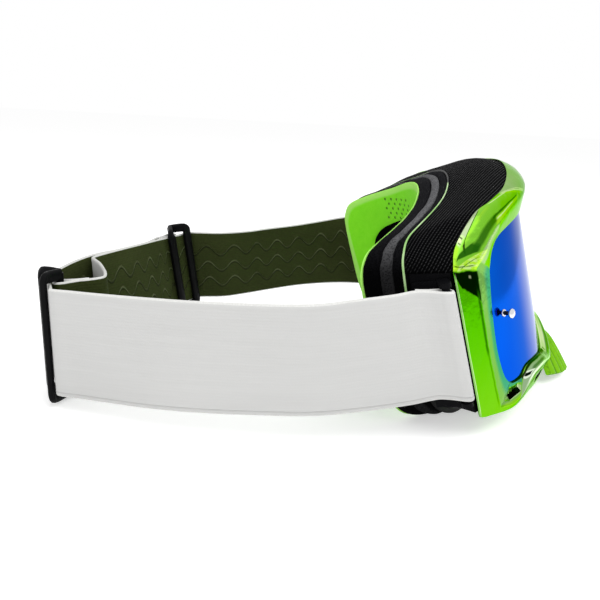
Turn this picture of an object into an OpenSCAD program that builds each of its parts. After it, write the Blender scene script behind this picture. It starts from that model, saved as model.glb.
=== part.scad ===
// Motocross goggles standing on a table: lens to the front (-Y), strap loop to the back (+Y),
// wearer's right at -X.
// The front assembly is drawn upright in its own frame, then leaned back and set down with the strap.

/* [Lens] */
// How much larger the radius of the lens's outer face, an upright cylinder, is than half the frame's width
lens_bow = 7.2; // [2.2:1:16.2]
// How far in front of the strap's zero line the middle of the lens lies
lens_front = 111.7; // [108:0.1:116]
// Thickness of the lens sheet
lens_t = 1.0; // [0.7:0.1:1.5]
// How far the lens reaches under the frame's lip
lens_lap = 3.2; // [2.4:0.1:4]
// Width of the frame beside the lens window, seen from the front
side_band = 12.4; // [11:0.1:16]
// Height of the lens window above the zero line
window_top = 48; // [44:0.5:51]

/* [Frame] */
// Half the width of the frame at its side faces
frame_half_w = 82.8; // [80:0.1:86]
// How far the side face's back edge lies in front of the zero line
side_back = 64.4; // [62:0.1:67]
// Height of the brow at the middle
brow_top = 68.2; // [66:0.2:71]
// How far the rim's ridge stands proud of the lens at the sides
ridge_side = 4.5; // [3:0.1:6]
// How far the rim's ridge stands proud of the lens at the brow
ridge_brow = 3.2; // [2:0.1:5]
// Wall of the frame's skirt
frame_wall = 2.2; // [1.6:0.1:2.8]
// Thickness of the lip in front of the lens
lip_t = 1.0; // [0.7:0.1:1.6]
// Height of the vents under the lens
vent_h = 2.6; // [1.6:0.1:3]

/* [Face foam] */
// How much larger the radius of the curve that lies on the face is than half the frame's width
face_bow = 5.2; // [0.2:1:12.2]
// How far the face curve's middle lies in front of the zero line
face_front = 66.8; // [64:0.2:70]
// How far the foam's outline lies inside the frame's side faces
face_inset = 9.8; // [8:0.1:12.8]
// Height of the foam's face side at the middle of the brow
face_top = 66; // [63:0.5:68]
// Thickness of the fleece
fleece_t = 1.2; // [0.8:0.1:2]
// Thickness of the soft black foam behind the fleece
core_t = 5.8; // [4:0.1:8]
// Thickness of the grey foam
base_t = 4; // [3:0.1:6]
// Thickness of the firm black foam on the flange
backing_t = 3.6; // [3:0.1:6]
// Thickness of the flange
flange_t = 1.2; // [1:0.1:2]
// How far the grey foam swells past the fleece's outline
foam_swell = 0.8; // [0.4:0.1:3]

/* [Chassis] */
// Wall of the chassis
chassis_wall = 1.6; // [1.2:0.1:2.2]
// Thickness of the mesh over the chassis
mesh_t = 1.2; // [0.8:0.1:1.6]
// Thickness of the gasket behind the lens
gasket_t = 2.5; // [1.5:0.1:3.5]

/* [Tear-off posts] */
// Distance of each post from the lens window's side, along X
post_inset = 6.4; // [4.4:0.2:10.4]
// Height of the posts
post_z = 13.4; // [8:0.2:22]
// Radius of a post's neck
post_neck_r = 0.9; // [0.7:0.05:1.2]
// Radius of a post's head
post_head_r = 2.1; // [1.7:0.05:2.4]
// Distance that a post stands out of the lens
post_out = 4.7; // [4.2:0.1:7]
// Length of a post's head
post_head_l = 1.9; // [1.4:0.1:2.4]

/* [Nose guard] */
// Height of the guard
guard_h = 26; // [20:0.5:28]
// Half the width of the guard's lower edge
guard_half_w = 21; // [17:0.5:23]
// How far the guard's lower edge stands in front of its upper edge
guard_flare = 10.5; // [6:0.5:12]
// Thickness of the guard between its ribs
guard_t = 2.0; // [1.5:0.1:2.6]
// Number of ribs across the guard
guard_ribs = 13; // [7:2:17]
// Height of a rib
rib_h = 1.0; // [0.5:0.1:1.4]
// Radius of a guard's peg
peg_r = 1.2; // [1:0.1:1.5]
// Length of a peg inside the frame
peg_l = 3.4; // [2.8:0.1:4]
// Distance of each peg from the middle
peg_x = 5.5; // [4:0.5:7]

/* [Strap] */
// Width of the strap
strap_w = 47; // [42:0.5:48]
// Thickness of the strap
strap_t = 1.4; // [1:0.1:1.6]
// Radius of the bars that carry the strap
bar_r = 1.6; // [1.3:0.1:2]
// Distance between a slider's outer bars
slider_pitch = 13; // [11:0.5:15]
// Length of strap folded back and sewn at each looped end
tail_l = 9; // [6:0.5:12]
// Thickness of a slider's end arms
arm_t = 2.4; // [2:0.1:3]
// Width of a slider's flat outer bars
flat_bar_w = 4.4; // [3.4:0.1:4.8]

/* [Stance] */
// Angle by which the front leans back from the strap
lean = 14; // [12:0.5:16]
// Angle by which the whole is turned, back end down, to stand on a table
stance = 2.9; // [2.6:0.1:3.2]

/* [Hidden] */
$fn = 48;
gap = 0.3;             // clearance between pieces that only lie together
lens_gap = 0.15;       // clearance round the lens
chassis_gap = 0.55;    // clearance between the chassis and the frame's skirt
chassis_in = 0.8;      // how far inside the skirt's back edge the chassis turns
seam = 0.25;           // glue line between two foam layers
drawn_half_w = 82.8;    // half width of the frame for which the key points below are given
stretch = frame_half_w / drawn_half_w;
lens_r = frame_half_w + lens_bow;
face_r = frame_half_w + face_bow;
lens_yc = lens_r - lens_front;
face_yc = face_r - face_front;
steps = 3;             // stations between two key stations
floor_z = 12.6;        // lifts the lowest point to the table
origin_y = 7.8;         // brings the middle of the length to the origin
origin_x = -0.54;       // brings the middle of the width to the origin

// Curves: Hermite curves through key points, where a listed key keeps a corner
function mirrored(p) = concat([-p[0]], [for (k = [1 : len(p) - 1]) p[k]]);
function key(keys, i) = i < 0 ? mirrored(keys[1]) : i >= len(keys) ? mirrored(keys[len(keys) - 2]) : keys[i];
function has(list, v) = len(search(v, list)) > 0;
function slope_out(keys, sharp, i) = has(sharp, i) ? key(keys, i + 1) - key(keys, i)
  : (key(keys, i + 1) - key(keys, i - 1)) / 2;
function slope_in(keys, sharp, i) = has(sharp, i) ? key(keys, i) - key(keys, i - 1)
  : (key(keys, i + 1) - key(keys, i - 1)) / 2;
function hermite(a, b, ma, mb, t) = (2*t*t*t - 3*t*t + 1) * a + (t*t*t - 2*t*t + t) * ma
  + (3*t*t - 2*t*t*t) * b + (t*t*t - t*t) * mb;
function widened(keys) = [for (p = keys) concat([p[0] * stretch], [for (k = [1 : len(p) - 1]) p[k]])];
function half_curve(keys, sharp = []) = concat(
  [for (i = [0 : len(keys) - 2]) for (s = [0 : steps - 1])
    hermite(keys[i], keys[i + 1], slope_out(keys, sharp, i), slope_in(keys, sharp, i + 1), s / steps)],
  [keys[len(keys) - 1]]);
function plan_len(a, b) = norm([b[0] - a[0], b[1] - a[1]]);
function toward(a, b, d) = [a[0], a[1]] + d * ([b[0], b[1]] - [a[0], a[1]]) / plan_len(a, b);
function both_sides(half) = concat(half,
  [for (i = [len(half) - 2 : -1 : 1]) [for (p = half[i]) [-p[0], p[1], p[2]]]]);
function lens_y(x, depth = 0) = lens_yc - sqrt(pow(lens_r - depth, 2) - x * x);
function face_y(x, t) = face_yc - t / 2 - sqrt(pow(face_r + t / 2, 2) - x * x);

// A closed ring of equal sections, given station by station
module ring(sections) {
  n = len(sections);
  k = len(sections[0]);
  points = [for (s = sections) each s];
  faces = [for (i = [0 : n - 1]) for (j = [0 : k - 1])
    let (a = i * k + j, b = i * k + (j + 1) % k, next = ((i + 1) % n) * k, d = next + j,
      c = next + (j + 1) % k)
      each [[a, b, c], [a, c, d]]];
  polyhedron(points, faces);
}
// An open run of equal sections, closed by its end caps
module run(sections) {
  n = len(sections);
  k = len(sections[0]);
  points = [for (s = sections) each s];
  faces = concat(
    [[for (j = [k - 1 : -1 : 0]) j]],
    [for (i = [0 : n - 2]) for (j = [0 : k - 1])
      let (a = i * k + j, b = i * k + (j + 1) % k, c = (i + 1) * k + (j + 1) % k, d = (i + 1) * k + j)
        each [[a, b, c], [a, c, d]]],
    [[for (j = [0 : k - 1]) (n - 1) * k + j]]);
  polyhedron(points, faces);
}

// Outlines in the front view, from the brow's middle over the wearer's left side to the nose arch: x, height
w = drawn_half_w - side_band;
wt = window_top;
rim_keys = [[0, wt], [18, wt], [36, wt - 0.2], [52, wt - 0.6], [w - 9, wt - 2.2], [w - 4.8, wt - 6],
  [w - 2.8, wt - 11], [w - 1.8, wt - 16], [w - 0.3, 15], [w, -3], [w - 2.3, -16], [w - 10, -18.5],
  [w - 16, -16.5], [43, -19], [32, -21.8], [23, -20.5], [14, -14.5], [0, -10.5]];
rim = half_curve(widened(rim_keys));
// Ridge: x, height, distance proud of the lens
rs = ridge_side;
rb = ridge_brow;
f = drawn_half_w;
ridge_keys = [[0, 55, rb], [18, 55, rb], [36, 54.5, rb], [52, 53.5, rb + 0.3], [f - 20, 51.5, rs + 0.5],
  [f - 13.8, 48, rs + 0.5], [f - 10.3, 43.5, rs + 0.5], [f - 6.8, 39, rs], [f - 6.5, 15, rs],
  [f - 6.5, -5, rs], [f - 6.8, -23.3, rs], [69, -25.2, rs], [57, -20.5, 4.6], [45, -22, 4.8], [33, -27, 5],
  [23, -28.5, 5.5], [14, -22.5, 5.5], [0, -16.5, 5]];
ridge = half_curve(widened(ridge_keys), [7, 10]);
// Crown and back edge: x, height, y
sb = -side_back;
bt = brow_top;
crown_keys = [[0, bt - 4, -113.8], [18, bt - 4.5, -112], [36, bt - 5.6, -107], [52, bt - 7, -100],
  [f - 16.5, 61.5, -89], [f - 9.8, 59.5, -81], [f - 3.3, 48, -69], [f - 1.8, 41, sb - 2.7],
  [f - 2, 15, sb - 3], [f - 2, -5, sb - 3], [f - 2.2, -23.5, sb - 3.2], [71, -27.2, -81], [58.5, -28, -91.5],
  [46.5, -30.5, -98.8], [34, -34, -102], [25, -36, -107], [15, -28.5, -110.5], [0, -21.5, -113.2]];
crown = half_curve(widened(crown_keys), [4, 7, 10]);
edge_keys = [[0, bt, -108], [18, bt - 0.5, -106.2], [36, bt - 2.4, -102], [53, bt - 4.8, -95],
  [f - 14.8, 62.2, -85.5], [f - 6.3, 60.2, -76.5], [f - 0.8, 51, -67], [f, 42, sb], [f, 15, sb],
  [f, -5, sb], [f - 0.3, -22, sb], [70, -27.5, -70], [57, -28.5, -78], [46, -30.5, -84], [34, -34.5, -92],
  [25, -36, -97], [15, -28.5, -100], [0, -21.5, -102]];
edge = half_curve(widened(edge_keys), [4, 7, 10]);
// Face foam, outer and inner outline: x, height
fw = drawn_half_w - face_inset;
ft = face_top;
outer_keys = [[0, ft], [20, ft - 1.5], [38, ft - 5], [52, ft - 7.5], [62, ft - 9.8], [fw - 4.5, 53.5],
  [fw - 1.6, 48.5], [fw - 0.3, 41], [fw, 20], [fw - 0.3, 0], [fw - 2.5, -16.5], [64, -24.5], [55, -27],
  [46, -27.5], [36, -24.5], [27, -16], [16, -3], [0, 3]];
inner_keys = [[0, 47], [18, 45.5], [35, 42.5], [46, 39.5], [53, 36.5], [57.5, 32.5], [60, 28], [61, 23],
  [61, 12], [60, 0], [57, -8], [52, -13], [46, -15], [39, -14], [31, -8], [24, 1], [14, 11], [0, 17]];
face_outer = half_curve(widened(outer_keys));
face_inner = half_curve(widened(inner_keys));
last = len(rim) - 1;

// Interfaces between the foam layers: how far each swells past the face outline, and its depth behind
// the face
t1 = fleece_t;
t2 = t1 + core_t;
t3 = t2 + base_t;
t4 = t3 + backing_t;
t5 = t4 + flange_t;
function swell(i, g) = let (o = face_outer[i], c = face_inner[i]) toward(o, c, -g);
function outer_at(i, g, t) = let (p = swell(i, g)) [p[0], face_y(p[0], t), p[1]];
function inner_at(i, g, t) = let (p = toward(face_inner[i], face_outer[i], g))
  [p[0], face_y(p[0], t), p[1]];
module foam_layer(g_back, t_back, g_front, t_front, g_mid) {
  t_mid = (t_back + t_front) / 2;
  ring(both_sides([for (i = [0 : last]) [
    inner_at(i, 0, t_back), inner_at(i, 0, t_mid), inner_at(i, 0, t_front - seam),
    outer_at(i, g_front, t_front - seam), outer_at(i, g_mid, t_mid), outer_at(i, g_back, t_back)]]));
}

module leaned() { rotate([-lean, 0, 0]) children(); }
module stood() { translate([origin_x, origin_y, floor_z]) rotate([-stance, 0, 0]) children(); }
module on_goggles() { stood() leaned() children(); }

// Frame: a ring of sections with lip, ridge, crown and back edge, hollow behind the brow
function frame_section(i) = let (
    r = rim[i], b = ridge[i], c = crown[i], e = edge[i], seat = toward(r, e, lens_lap + lens_gap),
    inner = toward(e, r, frame_wall), pocket = toward(c, r, frame_wall + 0.2))
  [[r[0], lens_y(r[0]) - lip_t, r[1]], [b[0], lens_y(b[0]) - b[2], b[1]], [c[0], c[2], c[1]],
   [e[0], e[2], e[1]], [inner[0], e[2], inner[1]], [pocket[0], c[2] + 1.2, pocket[1]],
   [seat[0], lens_y(seat[0], lens_t + gasket_t), seat[1]],
   [seat[0], lens_y(seat[0]) - lens_gap, seat[1]], [r[0], lens_y(r[0]) - lens_gap, r[1]]];
module outer_frame() color([0.35, 0.8, 0.1]) on_goggles() difference() {
  ring(both_sides([for (i = [0 : last]) frame_section(i)]));
  for (side = [-1, 1]) {
    for (v = [[68.5, -21.8, 6], [51, -25, 7]])
      translate([side * v[0] * stretch - v[2] / 2, -120, v[1] - vent_h / 2]) cube([v[2], 45, vent_h]);
    translate([side * peg_x, guard_peg_y, guard_top_z - 1]) cylinder(r = peg_r + 0.1, h = peg_l + 2);
  }
}

// Chassis: the soft inner frame between the lens and the flange
function chassis_section(i) = let (
    r = rim[i], e = edge[i], front = toward(r, e, lens_lap - 0.3),
    mid = toward(e, r, frame_wall + chassis_gap),
    back = swell(i, 1), mid_in = toward(mid, r, chassis_wall), back_in = swell(i, 1 - chassis_wall),
    lip = toward(r, e, -0.5), behind = lens_t + gasket_t + gap,
    y0 = lens_y(toward(r, e, lens_lap + lens_gap)[0], behind), y1 = lens_y(lip[0], behind))
  [[front[0], y0, front[1]], [mid[0], e[2] + chassis_in, mid[1]], [back[0], face_y(back[0], t5), back[1]],
   [back_in[0], face_y(back_in[0], t5), back_in[1]], [mid_in[0], e[2] + chassis_in + 0.5, mid_in[1]],
   [toward(front, r, chassis_wall)[0], y0 + chassis_wall, toward(front, r, chassis_wall)[1]],
   [lip[0], y1 + chassis_wall, lip[1]], [lip[0], y1, lip[1]]];
module face_chassis() color([0.1, 0.1, 0.11]) on_goggles()
  ring(both_sides([for (i = [0 : last]) chassis_section(i)]));

module face_flange() color([0.7, 0.85, 0.6]) on_goggles() foam_layer(2.4, t4, 2.4, t5, 2.9);
module foam_backing() color([0.08, 0.08, 0.09]) on_goggles()
  foam_layer(foam_swell + 0.3, t3, 2.4, t4, foam_swell);
module foam_base() color([0.3, 0.3, 0.31]) on_goggles()
  foam_layer(foam_swell, t2, foam_swell + 0.3, t3, foam_swell + 0.6);
module foam_core() color([0.08, 0.08, 0.09]) on_goggles()
  foam_layer(0, t1, foam_swell, t2, foam_swell * 0.7);
module face_fleece() color([0.5, 0.9, 0.15]) on_goggles() foam_layer(-0.8, 0, 0, t1, -0.2);

// Lens and what holds it
module lens_blank(grow, depth, t) {
  points = both_sides([for (i = [0 : last]) [let (p = toward(rim[i], edge[i], grow)) [p[0], p[1], 0]]]);
  intersection() {
    rotate([90, 0, 0]) linear_extrude(height = 140) polygon([for (p = points) [p[0][0], p[0][1]]]);
    translate([0, lens_yc, -60]) difference() {
      cylinder(r = lens_r - depth, h = 140, $fn = 180);
      translate([0, 0, -1]) cylinder(r = lens_r - depth - t, h = 142, $fn = 180);
    }
  }
}
post_x = w * stretch - post_inset;
post_angle = asin(post_x / lens_r);
module at_post(side) translate([0, lens_yc, post_z]) rotate([0, 0, side * post_angle]) rotate([90, 0, 0])
  children();
module lens() color([0.1, 0.3, 0.9]) on_goggles() difference() {
  lens_blank(lens_lap, 0, lens_t);
  for (side = [-1, 1]) at_post(side) cylinder(r = post_neck_r + 0.05, h = lens_r + 5);
}
module lens_gasket() color([0.12, 0.12, 0.12]) on_goggles() difference() {
  lens_blank(lens_lap - 0.3, lens_t, gasket_t);
  lens_blank(-0.5, lens_t - 0.5, gasket_t + 1);
}
// A post: a neck through the lens, a base disc on it and a round head that tear-off films hook over
module post(side) color([0.75, 0.76, 0.78]) on_goggles() at_post(side) {
  inside = lens_t + 1.6;
  translate([0, 0, lens_r - inside]) cylinder(r = post_neck_r, h = post_out - post_head_l + inside);
  translate([0, 0, lens_r]) cylinder(r = post_neck_r + 0.7, h = 0.4);
  translate([0, 0, lens_r + post_out - post_head_l]) cylinder(r = post_head_r, h = post_head_l);
}
module washer(side) color([0.2, 0.2, 0.2]) on_goggles() at_post(side)
  translate([0, 0, lens_r - lens_t - 1.15]) difference() {
    cylinder(r = post_neck_r + 1.6, h = 1);
    translate([0, 0, -1]) cylinder(r = post_neck_r, h = 3);
  }
module tear_off_post_right() post(-1);
module tear_off_post_left() post(1);
module post_washer_right() washer(-1);
module post_washer_left() washer(1);

// Nose guard: a ribbed hood under the nose arch, with two pegs up into the frame
guard_top_z = edge_keys[17][1] - 1.2;
guard_peg_y = -110;
guard_levels = 6;
guard_cols = 8 * (guard_ribs - 1);
function guard_half(u) = 8 + (guard_half_w - 8) * pow(u, 0.75);
function guard_front(u) = -116 - guard_flare * pow(u, 1.2);
function guard_y(x, u) = guard_front(u) + (8 + 6 * u) * pow(x / guard_half(u), 2);
function guard_point(s, u, out) = let (x = s * guard_half(u))
  [x, guard_y(x, u) - out, guard_top_z - guard_h * u + (7 * u - 2.5 * (1 - u)) * s * s];
function rib_out(c) = rib_h * (0.5 - 0.5 * cos(360 * c / 8));
function guard_loop(u) = concat(
  [for (c = [0 : guard_cols]) guard_point(2 * c / guard_cols - 1, u, rib_out(c) * min(1, u * 4))],
  [for (c = [guard_cols : -8 : 0]) guard_point(2 * c / guard_cols - 1, u, -guard_t)]);
module nose_guard() color([0.55, 0.85, 0.15]) on_goggles() {
  root = 4;
  foot = [2 * peg_r + 1.2, peg_r + 6, 4.5];
  run([for (l = [0 : guard_levels]) guard_loop(l / guard_levels)]);
  for (side = [-1, 1]) translate([side * peg_x, guard_peg_y, guard_top_z - root]) {
    cylinder(r = peg_r, h = peg_l + root);
    translate([-foot[0] / 2, peg_r - foot[1], -3]) cube(foot);
  }
}

// Meshes: skins over the chassis between the frame's back edge and the flange
function mesh_section(i) = let (
    r = rim[i], e = edge[i], y = e[2] + 0.1, mid = toward(e, r, frame_wall), back = swell(i, 1 + gap),
    mid_out = toward(mid, r, -mesh_t), back_out = swell(i, 1 + gap + mesh_t))
  [[mid[0], y, mid[1]], [mid_out[0], y, mid_out[1]], [back_out[0], face_y(back_out[0], t5), back_out[1]],
   [back[0], face_y(back[0], t5), back[1]]];
function flip(s) = [for (p = s) [-p[0], p[1], p[2]]];
brow_end = 5 * steps;
temple_start = 5 * steps;
temple_end = 7 * steps;
module brow_vent_mesh() color([0.06, 0.06, 0.07]) on_goggles()
  run(concat([for (i = [brow_end : -1 : 1]) flip(mesh_section(i))],
    [for (i = [0 : brow_end]) mesh_section(i)]));
module temple_mesh(side) color([0.06, 0.06, 0.07]) on_goggles() mirror([side < 0 ? 1 : 0, 0, 0])
  run([for (i = [temple_start : temple_end]) mesh_section(i)]);
module temple_vent_mesh_right() temple_mesh(-1);
module temple_vent_mesh_left() temple_mesh(1);

// Strap anchors: an outrigger on each side of the chassis with an upright bar that the strap loops round
bar_x = frame_half_w + 2.5;
bar_y = -60.2;
bar_mid = 12.5;        // height of the bar's middle
loop_r = bar_r + gap + strap_t / 2;
anchor_t = 2;
wall_i = 8 * steps;
wall_mid = toward(edge[wall_i], rim[wall_i], frame_wall + chassis_gap);
wall_y = sb + chassis_in;
wall_back = swell(wall_i, 1);
wall_back_y = face_y(wall_back[0], t5);
wall_turn = atan((wall_mid[0] - wall_back[0]) / (wall_back_y - wall_y));
wall_run = (wall_back_y - wall_y) / cos(wall_turn);
module strap_anchor(side) color([0.07, 0.07, 0.08]) on_goggles() mirror([side < 0 ? 1 : 0, 0, 0]) {
  translate([wall_mid[0] + gap + 0.15, wall_y, bar_mid]) rotate([0, 0, wall_turn])
    translate([0, 0, -strap_w / 2 - 5.5]) cube([anchor_t, wall_run - 1.6, strap_w + 8.2]);
  for (end = [-1, 1]) translate([0, 0, bar_mid + end * (strap_w / 2 + 2.2)]) {
    translate([wall_mid[0] - 0.4, bar_y - 2, -1]) cube([bar_x - wall_mid[0] + 0.4, 4, 2]);
    translate([bar_x, bar_y, -1]) cylinder(r = bar_r + 0.8, h = 2);
  }
  translate([bar_x, bar_y, bar_mid - strap_w / 2 - 2]) cylinder(r = bar_r, h = strap_w + 4);
}
module strap_anchor_right() strap_anchor(-1);
module strap_anchor_left() strap_anchor(1);

// Straps. A route's points give the lower edge's place and height, then how far the upper edge stands off it
// in x and y
bar_foot = [bar_x, bar_y * cos(lean) + (bar_mid - strap_w / 2) * sin(lean)];
bar_foot_z = -bar_y * sin(lean) + (bar_mid - strap_w / 2) * cos(lean);
bar_rake = strap_w * sin(lean);
// A strap's end looped round a bar: the sewn tail, the turn and the start of the leg, which leaves at the
// angle away
function loop(at, away, hand, z, ux, uy) = let (
    sewn = strap_t / 2 + 0.15,
    plan = concat([[loop_r + tail_l, -sewn], [loop_r + tail_l * 0.5, -sewn], [loop_r * 1.15, -loop_r * 0.7]],
      [for (a = [-70 : -55 : -290]) [loop_r * cos(a), loop_r * sin(a)]],
      [[loop_r * 1.15, loop_r * 0.7], [loop_r + tail_l * 0.5, sewn], [loop_r + tail_l, sewn]]))
  [for (p = plan) [at[0] + p[0] * cos(away) - hand * p[1] * sin(away),
    at[1] + p[0] * sin(away) + hand * p[1] * cos(away), z, ux, uy]];
function backwards(list) = [for (i = [len(list) - 1 : -1 : 0]) list[i]];

// Sliders: where each stands on the strap that passes through it, which way that strap runs and how it leans
mid_off = strap_t / 2 + gap + strap_t + gap + bar_r;
outer_off = strap_t / 2 + gap + bar_r + 0.05;
right_at = [-68.5 * stretch, 112.6];
right_turn = 25.5;
right_z = 0;
right_up = [0, -2];
left_at = [64 * stretch, 82.5];
left_turn = 150;
left_z = -2;
left_up = [-12, 1.5];
function along(at, turn, t, n) = [at[0], at[1]] + t * [cos(turn), sin(turn)] + n * [-sin(turn), cos(turn)];
right_mid = along(right_at, right_turn, 0, -mid_off);
left_mid = along(left_at, left_turn, 0, -mid_off);
// The straight piece of strap inside a slider
function through(at, turn, z, ux, uy) =
  [for (t = [-11.2, -8, 0, 8, 11.2]) let (p = along(at, turn, t, 0)) [p[0], p[1], z, ux, uy]];

right_join = widened([[-84.5, 86, 0, 0, 0]]);
left_join = widened([[74.8, 60, -1.8, -13.5, -1]]);
right_route = concat(loop([-bar_foot[0], bar_foot[1]], 90, 1, bar_foot_z, 0, bar_rake),
  widened([[-88.4, -38, 2.4, -0.5, 8], [-91.5, -20, 1, -1, 4], [-94, 0, 0, -2.5, 0.5],
    [-94, 22, 0, -2.5, 0], [-92.5, 46, 0, -1, 0], [-89.5, 66, 0, 0, 0]]));
right_end_route = concat(right_join, widened([[-81, 99, 0, 0, -1.2]]),
  through(right_at, right_turn, right_z, right_up[0], right_up[1]),
  widened([[-46, 116, 0, 0, 0], [-30, 114.5, 0, 0, 0], [-16, 110.5, 0, 0, 0], [2, 103.5, -1, -1.5, 0],
    [20, 98, -1.5, -5, 0], [38, 94.5, -2, -9, 1]]),
  backwards(loop(left_mid, left_turn, -1, left_z, left_up[0], left_up[1])));
left_route = concat(loop(bar_foot, 90, -1, bar_foot_z, 0, bar_rake),
  widened([[89.5, -40, 3, -2, 8], [95, -24, 2.5, -6, 4], [98, -8, 1.5, -11, 1], [95.5, 12, 0.5, -15, 0],
    [88, 31, -0.5, -15, -1], [80.5, 46, -1.2, -14.5, -3]]));
left_end_route = concat(left_join,
  through(left_at, left_turn, left_z, left_up[0], left_up[1]),
  widened([[40, 90, -1.3, -9, 0.5], [19, 94.5, -0.6, -5, 0], [1, 99.5, 0, -2, 0], [-14, 106, 0, 0, 0],
    [-21.5, 108.6, 0, 0, 0], [-25.5, 106.4, 0, 0, 0], [-33, 101.5, 0, 0, 0], [-43, 96.4, 0, 0, 0],
    [-52, 92.6, 0, 0, 0], [-58.6, 91.4, 0, 0, 0]]),
  backwards(loop(right_mid, right_turn - 90, -1, right_z, right_up[0], right_up[1])));
function open_key(keys, i) = i < 0 ? 2 * keys[0] - keys[1]
  : i >= len(keys) ? 2 * keys[len(keys) - 1] - keys[len(keys) - 2] : keys[i];
function tangent(keys, i) = let (a = open_key(keys, i - 1), b = keys[i], c = open_key(keys, i + 1))
  (c - a) / (plan_len(a, b) + plan_len(b, c));
function path(keys) = concat(
  [for (i = [0 : len(keys) - 2]) for (s = [0 : steps - 1]) let (l = plan_len(keys[i], keys[i + 1]))
    hermite(keys[i], keys[i + 1], l * tangent(keys, i), l * tangent(keys, i + 1), s / steps)],
  [keys[len(keys) - 1]]);
function plan_dir(p, i) = let (a = p[max(i - 1, 0)], b = p[min(i + 1, len(p) - 1)])
  [b[0] - a[0], b[1] - a[1]] / plan_len(a, b);
function strap_section(p, i) = let (
    d = plan_dir(p, i), q = p[i], side = [-d[1], d[0], 0] * strap_t / 2,
    up = [q[3], q[4], sqrt(strap_w * strap_w - q[3] * q[3] - q[4] * q[4])], foot = [q[0], q[1], q[2]])
  [foot - side, foot + side, foot + side + up, foot - side + up];
right_keys = concat(right_route, right_end_route);
left_keys = concat(left_route, left_end_route);
module strap(keys, from, to) {
  p = path(keys);
  run([for (i = [steps * to : -1 : steps * from]) strap_section(p, i)]);
}
module strap_right() color([0.9, 0.9, 0.9]) stood() strap(right_keys, 0, len(right_route));
module strap_right_end() color([0.85, 0.85, 0.85]) stood()
  strap(right_keys, len(right_route), len(right_keys) - 1);
module strap_left() color([0.25, 0.3, 0.12]) stood() strap(left_keys, 0, len(left_route));
module strap_left_end() color([0.3, 0.35, 0.15]) stood()
  strap(left_keys, len(left_route), len(left_keys) - 1);

// A slider: two flat bars on one side of the strap that passes through, a round one on the other for the
// strap that ends there
arm_w = 2 * bar_r - 0.5;
module arm(a, b) translate([a[0], a[1], 0]) rotate([0, 0, atan2(b[1] - a[1], b[0] - a[0])])
  translate([0, -arm_w / 2, 0]) cube([norm(b - a), arm_w, arm_t]);
module slider() {
  play = 1.7;
  outer = [for (s = [-1, 1]) [s * slider_pitch / 2, outer_off]];
  bar_l = strap_w + 2 * play + 2 * arm_t;
  translate([0, -mid_off, -play - arm_t]) cylinder(r = bar_r, h = bar_l);
  for (c = outer) translate([c[0] - flat_bar_w / 2, c[1] - bar_r, -play - arm_t])
    cube([flat_bar_w, 2 * bar_r, bar_l]);
  for (z = [-play - arm_t, strap_w + play]) for (c = outer) translate([0, 0, z]) arm(c, [0, -mid_off]);
}
module placed(at, turn, z, up) {
  leans = -up[0] * sin(turn) + up[1] * cos(turn);
  skew = up[0] * cos(turn) + up[1] * sin(turn);
  stood() translate([at[0], at[1], z]) rotate([0, 0, turn])
    rotate([-asin(leans / strap_w), 0, 0]) rotate([0, asin(skew / strap_w), 0]) children();
}
module slider_right() color([0.07, 0.07, 0.08]) placed(right_at, right_turn, right_z, right_up) slider();
module slider_left() color([0.07, 0.07, 0.08]) placed(left_at, left_turn, left_z, left_up) slider();

outer_frame();
face_chassis();
face_flange();
lens();
lens_gasket();
tear_off_post_right();
tear_off_post_left();
post_washer_right();
post_washer_left();
nose_guard();
brow_vent_mesh();
temple_vent_mesh_right();
temple_vent_mesh_left();
foam_backing();
foam_base();
foam_core();
face_fleece();
strap_anchor_right();
strap_anchor_left();
strap_right();
strap_right_end();
strap_left();
strap_left_end();
slider_right();
slider_left();
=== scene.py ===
# %% [markdown]
# # Motocross goggles, dressed
# The model comes from the CAD as plain solids. This lesson gives it looks: a metallised frame, a mirrored lens,
# layered face foam, knitted mesh, and a woven strap with two adjusters. Everything is in metres and already in its
# place, so each new piece is made where the CAD piece is, and moves with the same body.

# %% Load the frame
from math import asin, copysign, cos, hypot, pi, radians, sin, sqrt

import bmesh
import bpy
from mathutils import Matrix, Vector


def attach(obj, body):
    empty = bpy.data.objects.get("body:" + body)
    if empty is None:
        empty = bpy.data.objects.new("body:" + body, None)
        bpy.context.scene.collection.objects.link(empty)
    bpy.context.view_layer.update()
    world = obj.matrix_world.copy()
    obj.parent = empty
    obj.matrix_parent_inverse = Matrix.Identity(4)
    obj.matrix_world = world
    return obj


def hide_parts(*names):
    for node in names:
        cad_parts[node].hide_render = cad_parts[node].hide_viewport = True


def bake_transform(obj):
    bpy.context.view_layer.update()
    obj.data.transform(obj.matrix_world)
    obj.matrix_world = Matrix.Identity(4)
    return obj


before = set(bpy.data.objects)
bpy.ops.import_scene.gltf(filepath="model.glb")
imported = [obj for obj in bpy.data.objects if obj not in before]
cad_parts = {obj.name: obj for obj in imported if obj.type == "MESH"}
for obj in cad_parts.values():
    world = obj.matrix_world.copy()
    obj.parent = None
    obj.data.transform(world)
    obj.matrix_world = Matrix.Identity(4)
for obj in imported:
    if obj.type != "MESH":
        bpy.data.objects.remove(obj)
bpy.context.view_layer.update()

# %% [markdown]
# The front of the goggles is drawn upright, in millimetres from the strap's zero line, and then leaned back. The
# strap stands upright. `placed` puts a drawn point where it belongs in the scene, and `on_goggles` leans it too.

# %% From the drawing to the scene
MM = 0.001
STANCE = radians(2.9)
LEAN = radians(14)
ORIGIN = (-0.54, 7.8, 12.6)


def placed(point, lean=0.0):
    x, y, z = point
    turn = STANCE + lean
    return Vector((x + ORIGIN[0], y * cos(turn) + z * sin(turn) + ORIGIN[1],
                   z * cos(turn) - y * sin(turn) + ORIGIN[2])) * MM


def on_goggles(point):
    return placed(point, LEAN)


# %% [markdown]
# The camera stands at the wearer's right, about 31 cm from the middle and a little above, and looks 17 degrees down.
# Its place was found by fitting the strap's edges, so straight lines of the model fall on those of the photograph.

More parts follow.
